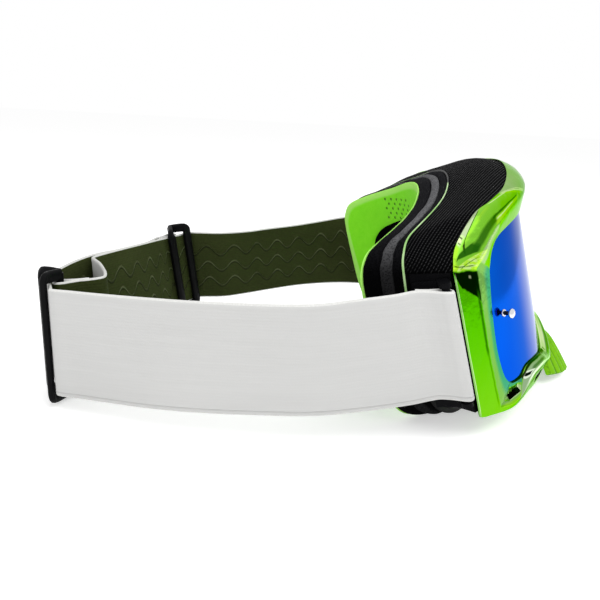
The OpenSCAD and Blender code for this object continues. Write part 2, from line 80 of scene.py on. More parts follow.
# %% Camera
PITCH, YAW, FOCAL_PIXELS, PICTURE, SENSOR = radians(17), radians(1.5), 620, 600, 36
ahead = (cos(PITCH) * cos(YAW), cos(PITCH) * sin(YAW), -sin(PITCH))
across = (sin(YAW), -cos(YAW), 0)
eye = placed((-314, 0, 115))
look = (placed(ahead) - placed((0, 0, 0))).normalized()
side = (placed(across) - placed((0, 0, 0))).normalized()
camera_data = bpy.data.cameras.new("camera")
camera_data.sensor_width = SENSOR
camera_data.lens = FOCAL_PIXELS / PICTURE * SENSOR
camera_data.clip_start, camera_data.clip_end = 0.01, 20
camera = bpy.data.objects.new("camera", camera_data)
rise = side.cross(look)
camera.matrix_world = Matrix((
    (side.x, rise.x, -look.x, eye.x), (side.y, rise.y, -look.y, eye.y),
    (side.z, rise.z, -look.z, eye.z), (0, 0, 0, 1)))
bpy.context.scene.collection.objects.link(camera)
bpy.context.scene.camera = camera
bpy.context.scene.view_settings.view_transform = "Standard"
print("camera at", [round(v, 3) for v in eye])

# %% [markdown]
# Shader maths is easier to read as Python. `Value` wraps one output socket, so `1 - mask * 0.5` adds Math nodes; a
# loop gives it one method for each operation. `Finish` holds one material: its `node` method adds any other node from
# its type, its settings and its inputs.


# %% Shader helpers
class Value:
    def __init__(self, finish, socket):
        self.finish, self.socket = finish, socket

    def math(self, operation, *inputs):
        return self.finish.node("ShaderNodeMath", {"operation": operation}, dict(enumerate(inputs)))

    def __rsub__(self, other):
        return self.math("SUBTRACT", other, self)

    def step(self, low, high):
        """0 below low, 1 above high, smooth between; with high under low it falls instead."""
        settings = {"interpolation_type": "SMOOTHSTEP"}
        if low < high:
            return self.finish.node("ShaderNodeMapRange", settings, {0: self, 1: low, 2: high})
        return self.finish.node("ShaderNodeMapRange", settings, {0: self, 1: high, 2: low, 3: 1.0, 4: 0.0})


def math_method(operation):
    return lambda self, *others: self.math(operation, self, *others)


for method, operation in (
        ("__add__", "ADD"), ("__sub__", "SUBTRACT"), ("__mul__", "MULTIPLY"), ("__truediv__", "DIVIDE"),
        ("power", "POWER"), ("sine", "SINE"), ("size", "ABSOLUTE"), ("floor", "FLOOR"), ("fract", "FRACT")):
    setattr(Value, method, math_method(operation))


class Finish:
    def __init__(self, name, **uniform):
        self.material = bpy.data.materials.new(name)
        self.material.use_nodes = True
        self.tree = self.material.node_tree
        self.tree.nodes.clear()
        self.shader = self.tree.nodes.new("ShaderNodeBsdfPrincipled")
        output = self.tree.nodes.new("ShaderNodeOutputMaterial")
        self.tree.links.new(self.shader.outputs[0], output.inputs["Surface"])
        self.wear(**uniform)

    def node(self, kind, settings=None, inputs=None, out=0):
        made = self.tree.nodes.new(kind)
        for key, value in (settings or {}).items():
            setattr(made, key, value)
        for key, value in (inputs or {}).items():
            self.feed(made.inputs[key], value)
        return Value(self, made.outputs[out])

    def feed(self, socket, value):
        if isinstance(value, Value):
            self.tree.links.new(value.socket, socket)
        elif isinstance(value, tuple) and socket.type == "RGBA" and len(value) == 3:
            socket.default_value = (*value, 1)
        else:
            socket.default_value = value

    def wear(self, **sockets):
        """Sets or links the shader's own sockets: Base_Color=..., Roughness=..."""
        for key, value in sockets.items():
            self.feed(self.shader.inputs[key.replace("_", " ")], value)

    def place(self):
        return self.node("ShaderNodeTexCoord", out="Object")

    def axes(self, vector=None):
        """Metres along x, y and z of a vector, or of the object's own place."""
        parts = self.tree.nodes.new("ShaderNodeSeparateXYZ")
        self.tree.links.new((vector or self.place()).socket, parts.inputs[0])
        return [Value(self, out) for out in parts.outputs]

    def height(self):
        return self.axes()[2]

    def along_across(self):
        """Metres along and across the piece, from its UV map."""
        return self.axes(self.node("ShaderNodeUVMap", {"uv_map": "UVMap"}))[:2]

    def attribute(self, name):
        return self.node("ShaderNodeAttribute", {"attribute_name": name}, out="Fac")

    def noise(self, scale, detail=3.0, rough=0.5, vector=None):
        return self.node("ShaderNodeTexNoise", None, {
            "Vector": vector or self.place(), "Scale": scale, "Detail": detail, "Roughness": rough}, "Fac")

    def cells(self, scale):
        return self.node("ShaderNodeTexVoronoi", None, {"Vector": self.place(), "Scale": scale}, "Distance")

    def stretched(self, x, y, z):
        return self.node("ShaderNodeMapping", None, {"Vector": self.place(), "Scale": (x, y, z)})

    def mix(self, factor, first, second):
        return self.node("ShaderNodeMix", {"data_type": "RGBA"}, {0: factor, 6: first, 7: second}, out=2)

    def bumped(self, height, depth):
        """Links a bump of that depth in metres to the normal."""
        self.wear(Normal=self.node("ShaderNodeBump", None, {"Height": height, "Distance": depth, "Strength": 1.0}))


# %% [markdown]
# The studio is plain: a white floor and a white world. Camera, glossy and transmission rays see the world at strength
# 1, which is white, while the light that falls on the goggles stays at an ordinary level. The floor adds some
# white for camera and glossy rays only, over a real diffuse surface, so it keeps a soft contact shadow.

# %% World, floor and lamps
AMBIENT, FLOOR_GLOW, LAMP_AIM = 0.62, 0.45, Vector((0, 0, 0.04))
world = bpy.data.worlds.new("studio")
bpy.context.scene.world = world
world.use_nodes = True
tree = world.node_tree
path = tree.nodes.new("ShaderNodeLightPath")
seen = path.outputs["Is Camera Ray"]
for ray in ("Is Glossy Ray", "Is Transmission Ray"):
    either = tree.nodes.new("ShaderNodeMath")
    either.operation = "MAXIMUM"
    tree.links.new(seen, either.inputs[0])
    tree.links.new(path.outputs[ray], either.inputs[1])
    seen = either.outputs[0]
level = tree.nodes.new("ShaderNodeMapRange")
tree.links.new(seen, level.inputs[0])
level.inputs[3].default_value, level.inputs[4].default_value = AMBIENT, 1.0
background = tree.nodes["Background"]
background.inputs["Color"].default_value = (1, 1, 1, 1)
tree.links.new(level.outputs[0], background.inputs["Strength"])

floor_finish = Finish("floor_white", Base_Color=(0.86, 0.86, 0.86), Roughness=1.0, Specular_IOR_Level=0.0)
camera_ray = floor_finish.node("ShaderNodeLightPath", out="Is Camera Ray")
glossy_ray = floor_finish.node("ShaderNodeLightPath", out="Is Glossy Ray")
glow = camera_ray.math("MAXIMUM", camera_ray, glossy_ray) * FLOOR_GLOW
floor_finish.wear(Emission_Color=(1, 1, 1), Emission_Strength=glow)
floor_mesh = bpy.data.meshes.new("studio_floor")
sheet = bmesh.new()
bmesh.ops.create_grid(sheet, x_segments=1, y_segments=1, size=6.0)
sheet.to_mesh(floor_mesh)
sheet.free()
floor = bpy.data.objects.new("studio_floor", floor_mesh)
floor_mesh.materials.append(floor_finish.material)
bpy.context.scene.collection.objects.link(floor)


def lamp(name, place, power, size):
    data = bpy.data.lights.new(name, "AREA")
    data.energy, data.size = power, size
    lamp_object = bpy.data.objects.new(name, data)
    lamp_object.location = place
    lamp_object.rotation_euler = (LAMP_AIM - Vector(place)).to_track_quat("-Z", "Y").to_euler()
    lamp_object.visible_glossy = False  # mirrors see only the white world, as in a light tent
    bpy.context.scene.collection.objects.link(lamp_object)


lamp("key_above", (-0.35, -0.25, 0.9), 4.5, 0.7)
lamp("fill_right", (-0.9, 0.35, 0.35), 2.5, 0.6)
lamp("rim_front", (0.3, -0.9, 0.5), 2.5, 0.6)
print("studio: ambient", AMBIENT)

# %% [markdown]
# Most pieces of the goggles follow a curve: the frame follows the lens, the foam follows the face, the strap follows
# its route. So most of them are made the same way. A flat grid is bent into place: each of its rows is one section
# of the piece, and where the last row or column meets the first, the seam is merged. The grid's own coordinates
# become the UV map, in metres, which the weaves follow.


# %% Bend a grid into sections
def bent(name, sections, ring=False, widths=None, start=0.0, materials=None, marks=None):
    """One object from equal sections. Each section closes on itself, and ring joins the last one to the first.
    widths gives each column's place across, start the first row's place along, materials each column's material,
    and marks a function of row and column for the attributes station and ring."""
    rows = [[*s, s[0]] for s in sections]
    if ring:
        rows.append(rows[0])
    across = list(widths or [0.0])
    middle = rows[len(rows) // 3]
    for a, b in zip(middle, middle[1:]):
        if not widths:
            across.append(across[-1] + (b - a).length)
    along = [start]
    for a, b in zip(rows, rows[1:]):
        along.append(along[-1] + max((b[0] - a[0]).length, 1e-6))
    count = len(rows[0])
    shape = bmesh.new()
    uv = shape.loops.layers.uv.new("UVMap")
    bmesh.ops.create_grid(shape, x_segments=count - 1, y_segments=len(rows) - 1, size=0.5)
    shape.verts.ensure_lookup_table()
    shape.verts.index_update()
    for face in shape.faces:
        for loop in face.loops:
            row, column = divmod(loop.vert.index, count)
            loop[uv].uv = (along[row], across[column])
        if materials:
            face.material_index = materials[min(loop.vert.index % count for loop in face.loops)]
    if marks:
        station, place_on_ring = (shape.verts.layers.float.new(name) for name in ("station", "ring"))
    for vertex in shape.verts:
        row, column = divmod(vertex.index, count)
        vertex.co = rows[row][column]
        if marks:
            vertex[station], vertex[place_on_ring] = marks(row, column)
    bmesh.ops.remove_doubles(shape, verts=shape.verts, dist=2e-6)
    open_edges = [e for e in shape.edges if e.is_boundary]
    if open_edges:
        bmesh.ops.holes_fill(shape, edges=open_edges, sides=0)
    bmesh.ops.recalc_face_normals(shape, faces=shape.faces)
    return show(name, shape)


def show(name, shape, sharp=40):
    """Turns a bmesh into a smooth-shaded object; edges over the sharp angle stay crisp."""
    mesh = bpy.data.meshes.new(name)
    shape.to_mesh(mesh)
    shape.free()
    mesh.polygons.foreach_set("use_smooth", [True] * len(mesh.polygons))
    mesh.set_sharp_from_angle(angle=radians(sharp))
    made = bpy.data.objects.new(name, mesh)
    bpy.context.scene.collection.objects.link(made)
    print(name, "faces:", len(mesh.polygons))
    return made


def dress(made, finish, body, slot, *nodes):
    """Gives a piece its finish, its body and the CAD nodes it stands for. The slot argument is not used."""
    made.data.materials.append(finish.material)
    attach(made, body)
    if nodes:
        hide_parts(*nodes)


# %% [markdown]
# A moulded edge is never a knife. `softened` turns every corner of a section into a small arc with a supporting point
# on each side, so flat facets stay flat under smooth shading and the edges catch a thin highlight.


# %% Round the corners of a section
def softened_marks(points, radii):
    """Pairs of a point and its mark: 2.0 on corner 2, 2.5 halfway to corner 3."""
    made = []
    for i, corner in enumerate(points):
        radius = radii[i] if isinstance(radii, (list, tuple)) else radii
        before, after = points[i - 1] - corner, points[(i + 1) % len(points)] - corner
        cut_a, cut_b = min(radius, 0.4 * before.length), min(radius, 0.4 * after.length)
        a, b = corner + before.normalized() * cut_a, corner + after.normalized() * cut_b
        reach_a, reach_b = min(2.0 * cut_a, 0.49 * before.length), min(2.0 * cut_b, 0.49 * after.length)
        far_a, far_b = corner + before.normalized() * reach_a, corner + after.normalized() * reach_b
        made += [(far_a, i - reach_a / before.length), (a, i - cut_a / before.length),
                 (a * 0.25 + corner * 0.5 + b * 0.25, i), (b, i + cut_b / after.length),
                 (far_b, i + reach_b / after.length)]
    return made


def softened(points, radii):
    return [point for point, _ in softened_marks(points, radii)]


# %% [markdown]
# The front view of the goggles rests on six curves: the rim of the lens window, the ridge and crown of the frame, its
# back edge, and the outer and inner outline of the foam. Each is one half, from the brow's middle round the side to
# the nose, and a few keys are corners. The curve between two keys is a cubic, and the other half is its mirror.

# %% Curves of the front
FINE = 8
WINDOW_W, WINDOW_TOP = 70.4, 48.0
SIDE, BACK, BROW = 82.8, -64.4, 68.2
FACE_W, FACE_TOP = 73.0, 66.0


def cubic(a, b, leave, reach, t):
    """The point at t between a and b, on the cubic with these tangents at its ends."""
    return (a * (2 * t**3 - 3 * t**2 + 1) + leave * (t**3 - 2 * t**2 + t)
            + b * (3 * t**2 - 2 * t**3) + reach * (t**3 - t**2))


def half_curve(keys, corners=()):
    keys = [Vector(k) for k in keys]

    def key(i):
        if 0 <= i < len(keys):
            return keys[i]
        found = keys[1 if i < 0 else len(keys) - 2].copy()
        found[0] = -found[0]
        return found

    made = []
    for i in range(len(keys) - 1):
        leave = key(i + 1) - key(i) if i in corners else (key(i + 1) - key(i - 1)) / 2
        reach = key(i + 1) - key(i) if i + 1 in corners else (key(i + 2) - key(i)) / 2
        made += [cubic(keys[i], keys[i + 1], leave, reach, s / FINE) for s in range(FINE)]
    return made + [keys[-1]]


w, top, f, bt = WINDOW_W, WINDOW_TOP, SIDE, BROW
rim = half_curve([
    (0, top), (18, top), (36, top - 0.2), (52, top - 0.6), (w - 9, top - 2.2), (w - 4.8, top - 6),
    (w - 2.8, top - 11), (w - 1.8, top - 16), (w - 0.3, 15), (w, -3), (w - 2.3, -16), (w - 10, -18.5),
    (w - 16, -16.5), (43, -19), (32, -21.8), (23, -20.5), (14, -14.5), (0, -10.5)])
ridge = half_curve([
    (0, 57.6, 4.8), (18, 57.6, 4.8), (36, 57, 4.8), (52, 55.6, 4.9), (f - 20, 52.4, 5.3), (f - 13.8, 48, 5),
    (f - 10.3, 43.5, 5), (f - 6.8, 39, 4.5), (f - 6.5, 15, 4.5), (f - 6.5, -5, 4.5), (f - 6.8, -23.3, 4.5),
    (69, -25.2, 4.5), (57, -20.5, 4.6), (45, -22, 4.8), (33, -27, 5), (23, -28.5, 5.5), (14, -22.5, 5.5),
    (0, -16.5, 5)], (7, 10))
crown = half_curve([
    (0, bt - 4, -113.8), (18, bt - 4.5, -112), (36, bt - 5.6, -107), (52, bt - 7, -100), (f - 16.5, 61.5, -89),
    (f - 9.8, 59.5, -81), (f - 3.3, 48, -69), (f - 1.8, 41, BACK - 2.7), (f - 2, 15, BACK - 3),
    (f - 2, -5, BACK - 3), (f - 2.2, -23.5, BACK - 3.2), (71, -27.2, -81), (58.5, -28, -91.5), (46.5, -30.5, -98.8),
    (34, -34, -102), (25, -36, -107), (15, -28.5, -110.5), (0, -21.5, -113.2)], (4, 7, 10))
edge = half_curve([
    (0, bt, -108), (18, bt - 0.5, -106.2), (36, bt - 2.4, -102), (53, bt - 4.8, -95), (f - 14.8, 62.2, -85.5),
    (f - 6.3, 60.2, -76.5), (f - 0.8, 51, -67), (f, 42, BACK), (f, 15, BACK), (f, -5, BACK),
    (f - 0.3, -22, BACK), (70, -27.5, -70), (57, -28.5, -78), (46, -30.5, -84), (34, -34.5, -92),
    (25, -36, -97), (15, -28.5, -100), (0, -21.5, -102)], (4, 7, 10))
g, h = FACE_W, FACE_TOP
face_outer = half_curve([
    (0, h), (20, h - 1.5), (38, h - 5), (52, h - 7.5), (62, h - 9.8), (g - 4.5, 53.5), (g - 1.6, 48.5),
    (g - 0.3, 41), (g, 20), (g - 0.3, 0), (g - 2.5, -16.5), (64, -24.5), (55, -27), (46, -27.5), (36, -24.5),
    (27, -16), (16, -3), (0, 3)])
face_inner = half_curve([
    (0, 47), (18, 45.5), (35, 42.5), (46, 39.5), (53, 36.5), (57.5, 32.5), (60, 28), (61, 23), (61, 12),
    (60, 0), (57, -8), (52, -13), (46, -15), (39, -14), (31, -8), (24, 1), (14, 11), (0, 17)])
LENS_R, LENS_FRONT, FACE_R, FACE_FRONT = 90.0, 111.7, 88.0, 66.8


def lens_y(x, depth=0.0):
    return LENS_R - LENS_FRONT - sqrt((LENS_R - depth) ** 2 - x * x)


def face_y(x, depth):
    return FACE_R - FACE_FRONT - depth / 2 - sqrt((FACE_R + depth / 2) ** 2 - x * x)


def toward(a, b, distance):
    step = Vector((b[0] - a[0], b[1] - a[1])).normalized() * distance
    return a[0] + step.x, a[1] + step.y


def mirrored(section):
    return [Vector((-p.x, p.y, p.z)) for p in section]


def both_sides(half):
    """The sections of the other half are the mirror of this one, and the loop goes on round."""
    return [[on_goggles(p) for p in s] for s in half + [mirrored(s) for s in half[-2:0:-1]]]


print("stations on each half:", len(rim))

# %% [markdown]
# ## Frame
# The frame is injection moulded and then metallised in a bright green. Its section has a rim against the lens, a
# ridge, a crown and a back edge, and it is hollow behind. The brow is a soft round band, while the temples are cut in
# flat facets, so the rounding of each corner changes along the ring.

# %% Frame: sections and ring
FRAME_WALL, LIP, LENS_T, GASKET_T, LENS_GAP, LENS_LAP = 2.2, 1.0, 1.0, 2.5, 0.15, 3.2


def between(i, *stops):
    """A value for station i from (station, value) stops, with straight runs between them."""
    for (a, low), (b, high) in zip(stops, stops[1:]):
        if i <= b:
            return low + (high - low) * max(0.0, (i - a) / (b - a))
    return stops[-1][1]


def frame_section(i):
    r, b, c, e = rim[i], ridge[i], crown[i], edge[i]
    seat = toward(r, e, LENS_LAP + LENS_GAP)
    inner, pocket = toward(e, r, FRAME_WALL), toward(c, r, FRAME_WALL + 0.2)
    corners = [Vector(p) for p in (
        (r[0], lens_y(r[0]) - LIP, r[1]), (b[0], lens_y(b[0]) - b[2], b[1]), (c[0], c[2], c[1]), (e[0], e[2], e[1]),
        (inner[0], e[2], inner[1]), (pocket[0], c[2] + 1.2, pocket[1]), (seat[0], lens_y(seat[0], LENS_T + GASKET_T),
        seat[1]), (seat[0], lens_y(seat[0]) - LENS_GAP, seat[1]), (r[0], lens_y(r[0]) - LENS_GAP, r[1]))]
    key = i / FINE
    ridge_round = between(key, (0, 2.2), (3, 2.0), (4.3, 0.9), (10, 0.8), (11, 1.0), (12, 2.4), (13, 2.6),
                          (15, 2.0), (17, 1.8))
    crown_round = between(key, (0, 5.0), (3, 4.0), (4.2, 0.9), (10, 0.8), (12, 1.0), (14, 2.0), (17, 2.0))
    return softened_marks(corners, [0.35, ridge_round, crown_round, 0.7, 0.3, 0.4, 0.3, 0.1, 0.1])


frame_half = [frame_section(i) for i in range(len(rim))]
frame_marks = [[mark for _, mark in s] + [s[0][1]] for s in frame_half]
whole_ring = 2 * (len(rim) - 1)


def key_of(row):
    """The station of a row of a whole ring, counted in keys from the brow's middle on both sides."""
    i = row % whole_ring
    return min(i, whole_ring - i) / FINE


frame_piece = bent("frame_shell", both_sides([[p for p, _ in s] for s in frame_half]), ring=True,
                   marks=lambda row, column: (key_of(row), frame_marks[round(key_of(row) * FINE)][column]))

# %% [markdown]
# Small vents are cut through the lower rim on both sides. A cutter for each is a bevelled box, and a Boolean
# modifier takes them out; its result is then made the piece's own mesh.


# %% Frame: vents
VENTS, VENT_DEEP, VENT_TALL, VENT_ROUND = (((68.5, -97, -21.8), 6), ((51, -97, -25), 7)), 46, 2.6, 0.5


def block(shape, centre, size, round_off):
    """Adds a bevelled box to a bmesh, in drawing millimetres on the goggles."""
    made = bmesh.ops.create_cube(shape, size=1.0)["verts"]
    bmesh.ops.scale(shape, vec=size, verts=made)
    edges = {e for v in made for e in v.link_edges}
    cut = bmesh.ops.bevel(shape, geom=list(edges), offset=round_off, offset_type="OFFSET", segments=3,
                          profile=0.5, affect="EDGES", material=-1)
    for vertex in {v for face in cut["faces"] for v in face.verts} | {v for v in made if v.is_valid}:
        vertex.co = on_goggles(vertex.co + Vector(centre))


cutters = bmesh.new()
for side_sign in (-1, 1):
    for (x, y, z), width in VENTS:
        block(cutters, (side_sign * x, y, z), (width, VENT_DEEP, VENT_TALL), VENT_ROUND)
cutter = show("vent_cutters", cutters)
cut = frame_piece.modifiers.new("vents", "BOOLEAN")
cut.operation, cut.object, cut.solver = "DIFFERENCE", cutter, "EXACT"
cleared = bpy.data.meshes.new_from_object(frame_piece.evaluated_get(bpy.context.evaluated_depsgraph_get()))
frame_piece.modifiers.clear()
frame_piece.data = cleared
bpy.data.objects.remove(cutter)
print("frame after vents:", len(cleared.polygons), "faces")

# %% [markdown]
# A metallised surface shows its surroundings. In a plain studio those are white, the goggles' own black parts, and
# the dark line of the horizon, and the cut facets of the temples catch them in hard-edged patches. The finish paints
# these reflections into the base colour as tones of the same green, on the frame's own two coordinates: the station
# along the ring and the place from the rim over ridge and crown to the back edge. A little noise bends the painted
# patches' edges as a curved mirror does.

# %% Metallised green
chrome_green = Finish("chrome_green", Metallic=1.0, Roughness=0.12, Specular_Tint=(0.45, 0.75, 0.3))
ripple = chrome_green.noise(75, 2, vector=chrome_green.stretched(1, 1, 0.5))
fine_ripple = chrome_green.noise(260, 2)
plain_station, plain_ring = chrome_green.attribute("station"), chrome_green.attribute("ring")
station = plain_station + (ripple - 0.5) * 0.14 + (fine_ripple - 0.5) * 0.08
ring = plain_ring + (ripple - 0.5) * 0.12 + (fine_ripple - 0.5) * 0.10


def patch(s_low, s_high, r_low, r_high, s_soft, r_soft, lean=0.0, more=None):
    """1 inside a patch of stations and ring places; lean slides its station limits along the ring."""
    s = station - ring * lean if lean else station
    inside = s.step(s_low - s_soft, s_low + s_soft) * s.step(s_high + s_soft, s_high - s_soft)
    inside = inside * ring.step(r_low - r_soft, r_low + r_soft) * ring.step(r_high + r_soft, r_high - r_soft)
    return inside * more if more else inside


# Tints for the reflections, highlights and shade that are painted into the metallised green.
DARK, FOREST, GRASS, LIME = (0.0006, 0.005, 0.0006), (0.014, 0.11, 0.004), (0.075, 0.30, 0.005), (0.42, 0.78, 0.03)
PALE, WHITE, OLIVE, TEAL = (0.43, 0.53, 0.31), (0.78, 0.88, 0.52), (0.20, 0.40, 0.11), (0.04, 0.30, 0.19)
SILVER, SHINE = (0.30, 0.44, 0.24), (0.90, 1.0, 0.82)
# Painted reflections: the base green grades lighter down the side face, and on the temple towards the back edge.
side_painted_reflection = chrome_green.mix(station.step(7.4, 10.8), (0.066, 0.40, 0.001), (0.165, 0.50, 0.010))
temple_painted_reflection = chrome_green.mix(ring.step(1.4, 2.6), (0.19, 0.54, 0.03), (0.27, 0.66, 0.06))
colour = chrome_green.mix(station.step(6.6, 7.0), temple_painted_reflection, side_painted_reflection)
# Noise that crumples the edges of the painted crease highlight and reflections.
crumpled_reflection_mask = chrome_green.noise(300, 3, 0.6, vector=chrome_green.stretched(1, 1, 2.6)).step(0.42, 0.58)
# Each patch paints a reflection, a highlight or a shade into the green.
PAINTED_LIGHT_PATCHES = (
    # tint, strength, stations from and to, ring places from and to, softness of both, lean, one more mask
    # brow band: painted reflection of pale sky on the crown, a little greener and darker towards the ridge and the
    # temple
    (PALE, 1.0, -9, 1.26, -0.2, 4.4, 0.04, 0.3, 0.75),
    (OLIVE, 0.40, -9, 1.20, 0.9, 1.7, 0.04, 0.4, 0.75),
    (OLIVE, 0.15, 0.6, 1.20, 1.2, 2.8, 0.25, 0.3, 0.75),
    (PALE, 0.7, -1, 4.2, -0.2, 0.7, 0.2, 0.28),
    # the step between brow and temple: a painted highlight along the wrinkle with painted dark lines in it, and on
    # along the mesh
    (WHITE, 0.95, 1.22, 1.42, 1.1, 2.75, 0.03, 0.08, 0.75),
    (LIME, 0.6, 1.42, 1.60, 1.2, 2.6, 0.04, 0.1, 0.75),
    (FOREST, 0.85, 1.285, 1.315, 1.6, 2.7, 0.012, 0.08, 0.75),
    (WHITE, 0.8, 3.2, 4.3, 2.42, 2.60, 0.1, 0.03),
    # temple: a painted dark reflection that runs down from the ridge like a fold, with a painted highlight strip
    # beside it
    (LIME, 0.75, 2.7, 4.5, 1.14, 1.40, 0.1, 0.03),
    (WHITE, 0.7, 3.2, 4.4, 1.30, 1.36, 0.1, 0.02),
    (FOREST, 0.9, 2.9, 4.6, 1.44, 1.54, 0.05, 0.03),
    (FOREST, 0.85, 4.4, 6.0, 1.26, 1.56, 0.1, 0.07),
    (PALE, 0.8, 4.4, 6.6, 0.60, 1.10, 0.1, 0.05),
    (LIME, 0.35, 4.6, 5.7, 1.9, 2.1, 0.2, 0.08),
    # painted reflections on the facet at the back: pale, with a dark line before it and a bright highlight notch
    # below it
    (PALE, 1.0, 8.50, 10.5, 1.9, 3.6, 0.03, 0.06, -1.333, station.step(5.66, 5.58)),
    (DARK, 0.9, 8.36, 8.48, 1.75, 2.75, 0.03, 0.06, -1.333, station.step(4.75, 4.9)),
    (WHITE, 0.85, 5.62, 5.90, 2.25, 3.2, 0.05, 0.08, 0, 1 - crumpled_reflection_mask * 0.6),
    (DARK, 0.9, 5.66, 5.70, 2.45, 3.2, 0.02, 0.1),
    (DARK, 0.8, 5.82, 5.86, 2.35, 2.8, 0.02, 0.1),
    (LIME, 0.55, 5.95, 6.8, 2.3, 3.3, 0.05, 0.1),
    (FOREST, 0.95, 3.66, 9.0, 1.3, 2.45, 0.05, 0.06, 1.21,
     (station - ring * 0.55).step(5.30, 5.22) * station.step(5.6, 5.75)),
    # painted reflections: the crumpled bright crease over the side, and the black that the side face mirrors below it
    (LIME, 1.0, 4.93, 9.0, 0.92, 3.4, 0.04, 0.05, 0.9, station.step(7.03, 6.97) * station.step(5.4, 5.7)),
    (LIME, 1.0, 6.72, 7.0, 1.9, 3.4, 0.03, 0.1),
    (WHITE, 0.45, 4.96, 9.0, 0.95, 3.3, 0.03, 0.06, 0.9, station.step(7.02, 6.97) * station.step(5.5, 5.8) * crumpled_reflection_mask),
    (FOREST, 0.8, 6.76, 6.84, 1.2, 3.0, 0.02, 0.1, 0, crumpled_reflection_mask),
    (FOREST, 0.7, 5.18, 5.26, 1.2, 1.9, 0.02, 0.1, 0.9),
    (DARK, 1.0, 7.02, 9.0, 0.86, 2.96, 0.015, 0.05, 0, (station + ring * 0.25).step(7.80, 7.76)),
    (WHITE, 0.35, 7.10, 7.14, 1.36, 1.50, 0.015, 0.04),
    (FOREST, 0.8, 7.4, 8.6, 1.0, 1.15, 0.1, 0.05),
    # side face: a lighter strip along the back edge and a bevel beside the lens that mirrors its blue, both painted
    # reflections
    (OLIVE, 0.9, 7.1, 10.2, 2.70, 3.3, 0.05, 0.04),
    (WHITE, 0.5, 7.1, 9.9, 2.66, 2.74, 0.1, 0.02),
    (FOREST, 0.45, 7.5, 9.9, 0.98, 1.08, 0.2, 0.03),
    (OLIVE, 0.9, 6.6, 10.6, 0.02, 0.90, 0.1, 0.06),
    (TEAL, 0.9, 6.6, 10.3, -0.3, 0.42, 0.1, 0.18),
    (LIME, 0.3, 10.2, 11.2, 0.5, 1.1, 0.1, 0.1),
    # lower rim: the tube's pale sky, green stripe and white edge are painted reflections; painted black stands in for
    # shaded gaps
    (SILVER, 1.0, 11.15, 18.5, 0.2, 1.3, 0.06, 0.06),
    (FOREST, 0.7, 12.0, 13.4, 0.46, 0.74, 0.15, 0.06),
    (SHINE, 0.95, 11.6, 14.4, 0.86, 1.06, 0.3, 0.05),
    (FOREST, 0.8, 11.95, 13.6, 1.12, 1.20, 0.1, 0.03),
    (DARK, 0.95, 11.1, 12.1, 1.28, 1.46, 0.1, 0.04),
    (SILVER, 0.9, 11.1, 13.0, 1.5, 2.4, 0.1, 0.1),
    (SHINE, 0.8, 10.98, 11.42, 0.10, 0.78, 0.03, 0.05, 1.0),
    (DARK, 1.0, 11.10, 11.30, 0.20, 0.68, 0.03, 0.05, 1.0),
    (DARK, 0.95, 10.2, 14.2, -0.3, 0.20, 0.1, 0.05),
    (WHITE, 0.9, 14.2, 18.5, -0.3, 0.42, 0.1, 0.05),
    (DARK, 0.9, 14.35, 14.45, 0.05, 0.35, 0.02, 0.04),
    (GRASS, 0.8, 14.2, 18.5, 0.5, 0.8, 0.1, 0.05))
for tint, strength, *limits in PAINTED_LIGHT_PATCHES:
    colour = chrome_green.mix(patch(*limits) * strength, colour, tint)
# The walls of the vents carry no marks at all, and get painted shade, as deep in a slot.
colour = chrome_green.mix(plain_station.step(0.02, 0.005) * plain_ring.step(0.02, 0.005), colour, DARK)
chrome_green.wear(Base_Color=colour)
scuffs = chrome_green.noise(900, 4, 0.7)
chrome_green.wear(Roughness=scuffs.step(0.55, 0.8) * 0.12 + 0.1)
chrome_green.bumped(ripple + fine_ripple * 0.3, 0.0005)
dress(frame_piece, chrome_green, "goggles", "frame_green", "outer_frame")

# %% [markdown]
# ## Lens
# The lens is one polycarbonate sheet bent to a cylinder, with a blue mirror coat. It is made as the flat cut that a
# maker would stamp out: one face with the window's outline plus a lap, sliced by many upright lines, then laid on the
# cylinder and given its thickness. A metallic shader is blue face on and pales at grazing angles, as the coat does.

# %% Lens
outline = [toward(rim[i], edge[i], LENS_LAP) for i in range(len(rim))]
outline += [(-x, z) for x, z in outline[-2:0:-1]]
blank = bmesh.new()
blank.faces.new([blank.verts.new((x, 0, z)) for x, z in outline])
for axis, cuts in ((Vector((1, 0, 0)), range(-76, 77, 2)), (Vector((0, 0, 1)), range(-20, 52, 4))):
    for at in cuts:
        bmesh.ops.bisect_plane(blank, geom=blank.verts[:] + blank.edges[:] + blank.faces[:], dist=1e-4,
                               plane_co=axis * at, plane_no=axis)
for vertex in blank.verts:
    x, z = vertex.co.x, vertex.co.z
    vertex.co = on_goggles((x, lens_y(x), z))
bmesh.ops.recalc_face_normals(blank, faces=blank.faces)
if sum(face.normal.y * face.calc_area() for face in blank.faces) > 0:
    bmesh.ops.reverse_faces(blank, faces=blank.faces)
lens_piece = show("lens_sheet", blank)
wall = lens_piece.modifiers.new("thickness", "SOLIDIFY")
wall.thickness, wall.offset, wall.use_even_offset = LENS_T * MM, -1, True

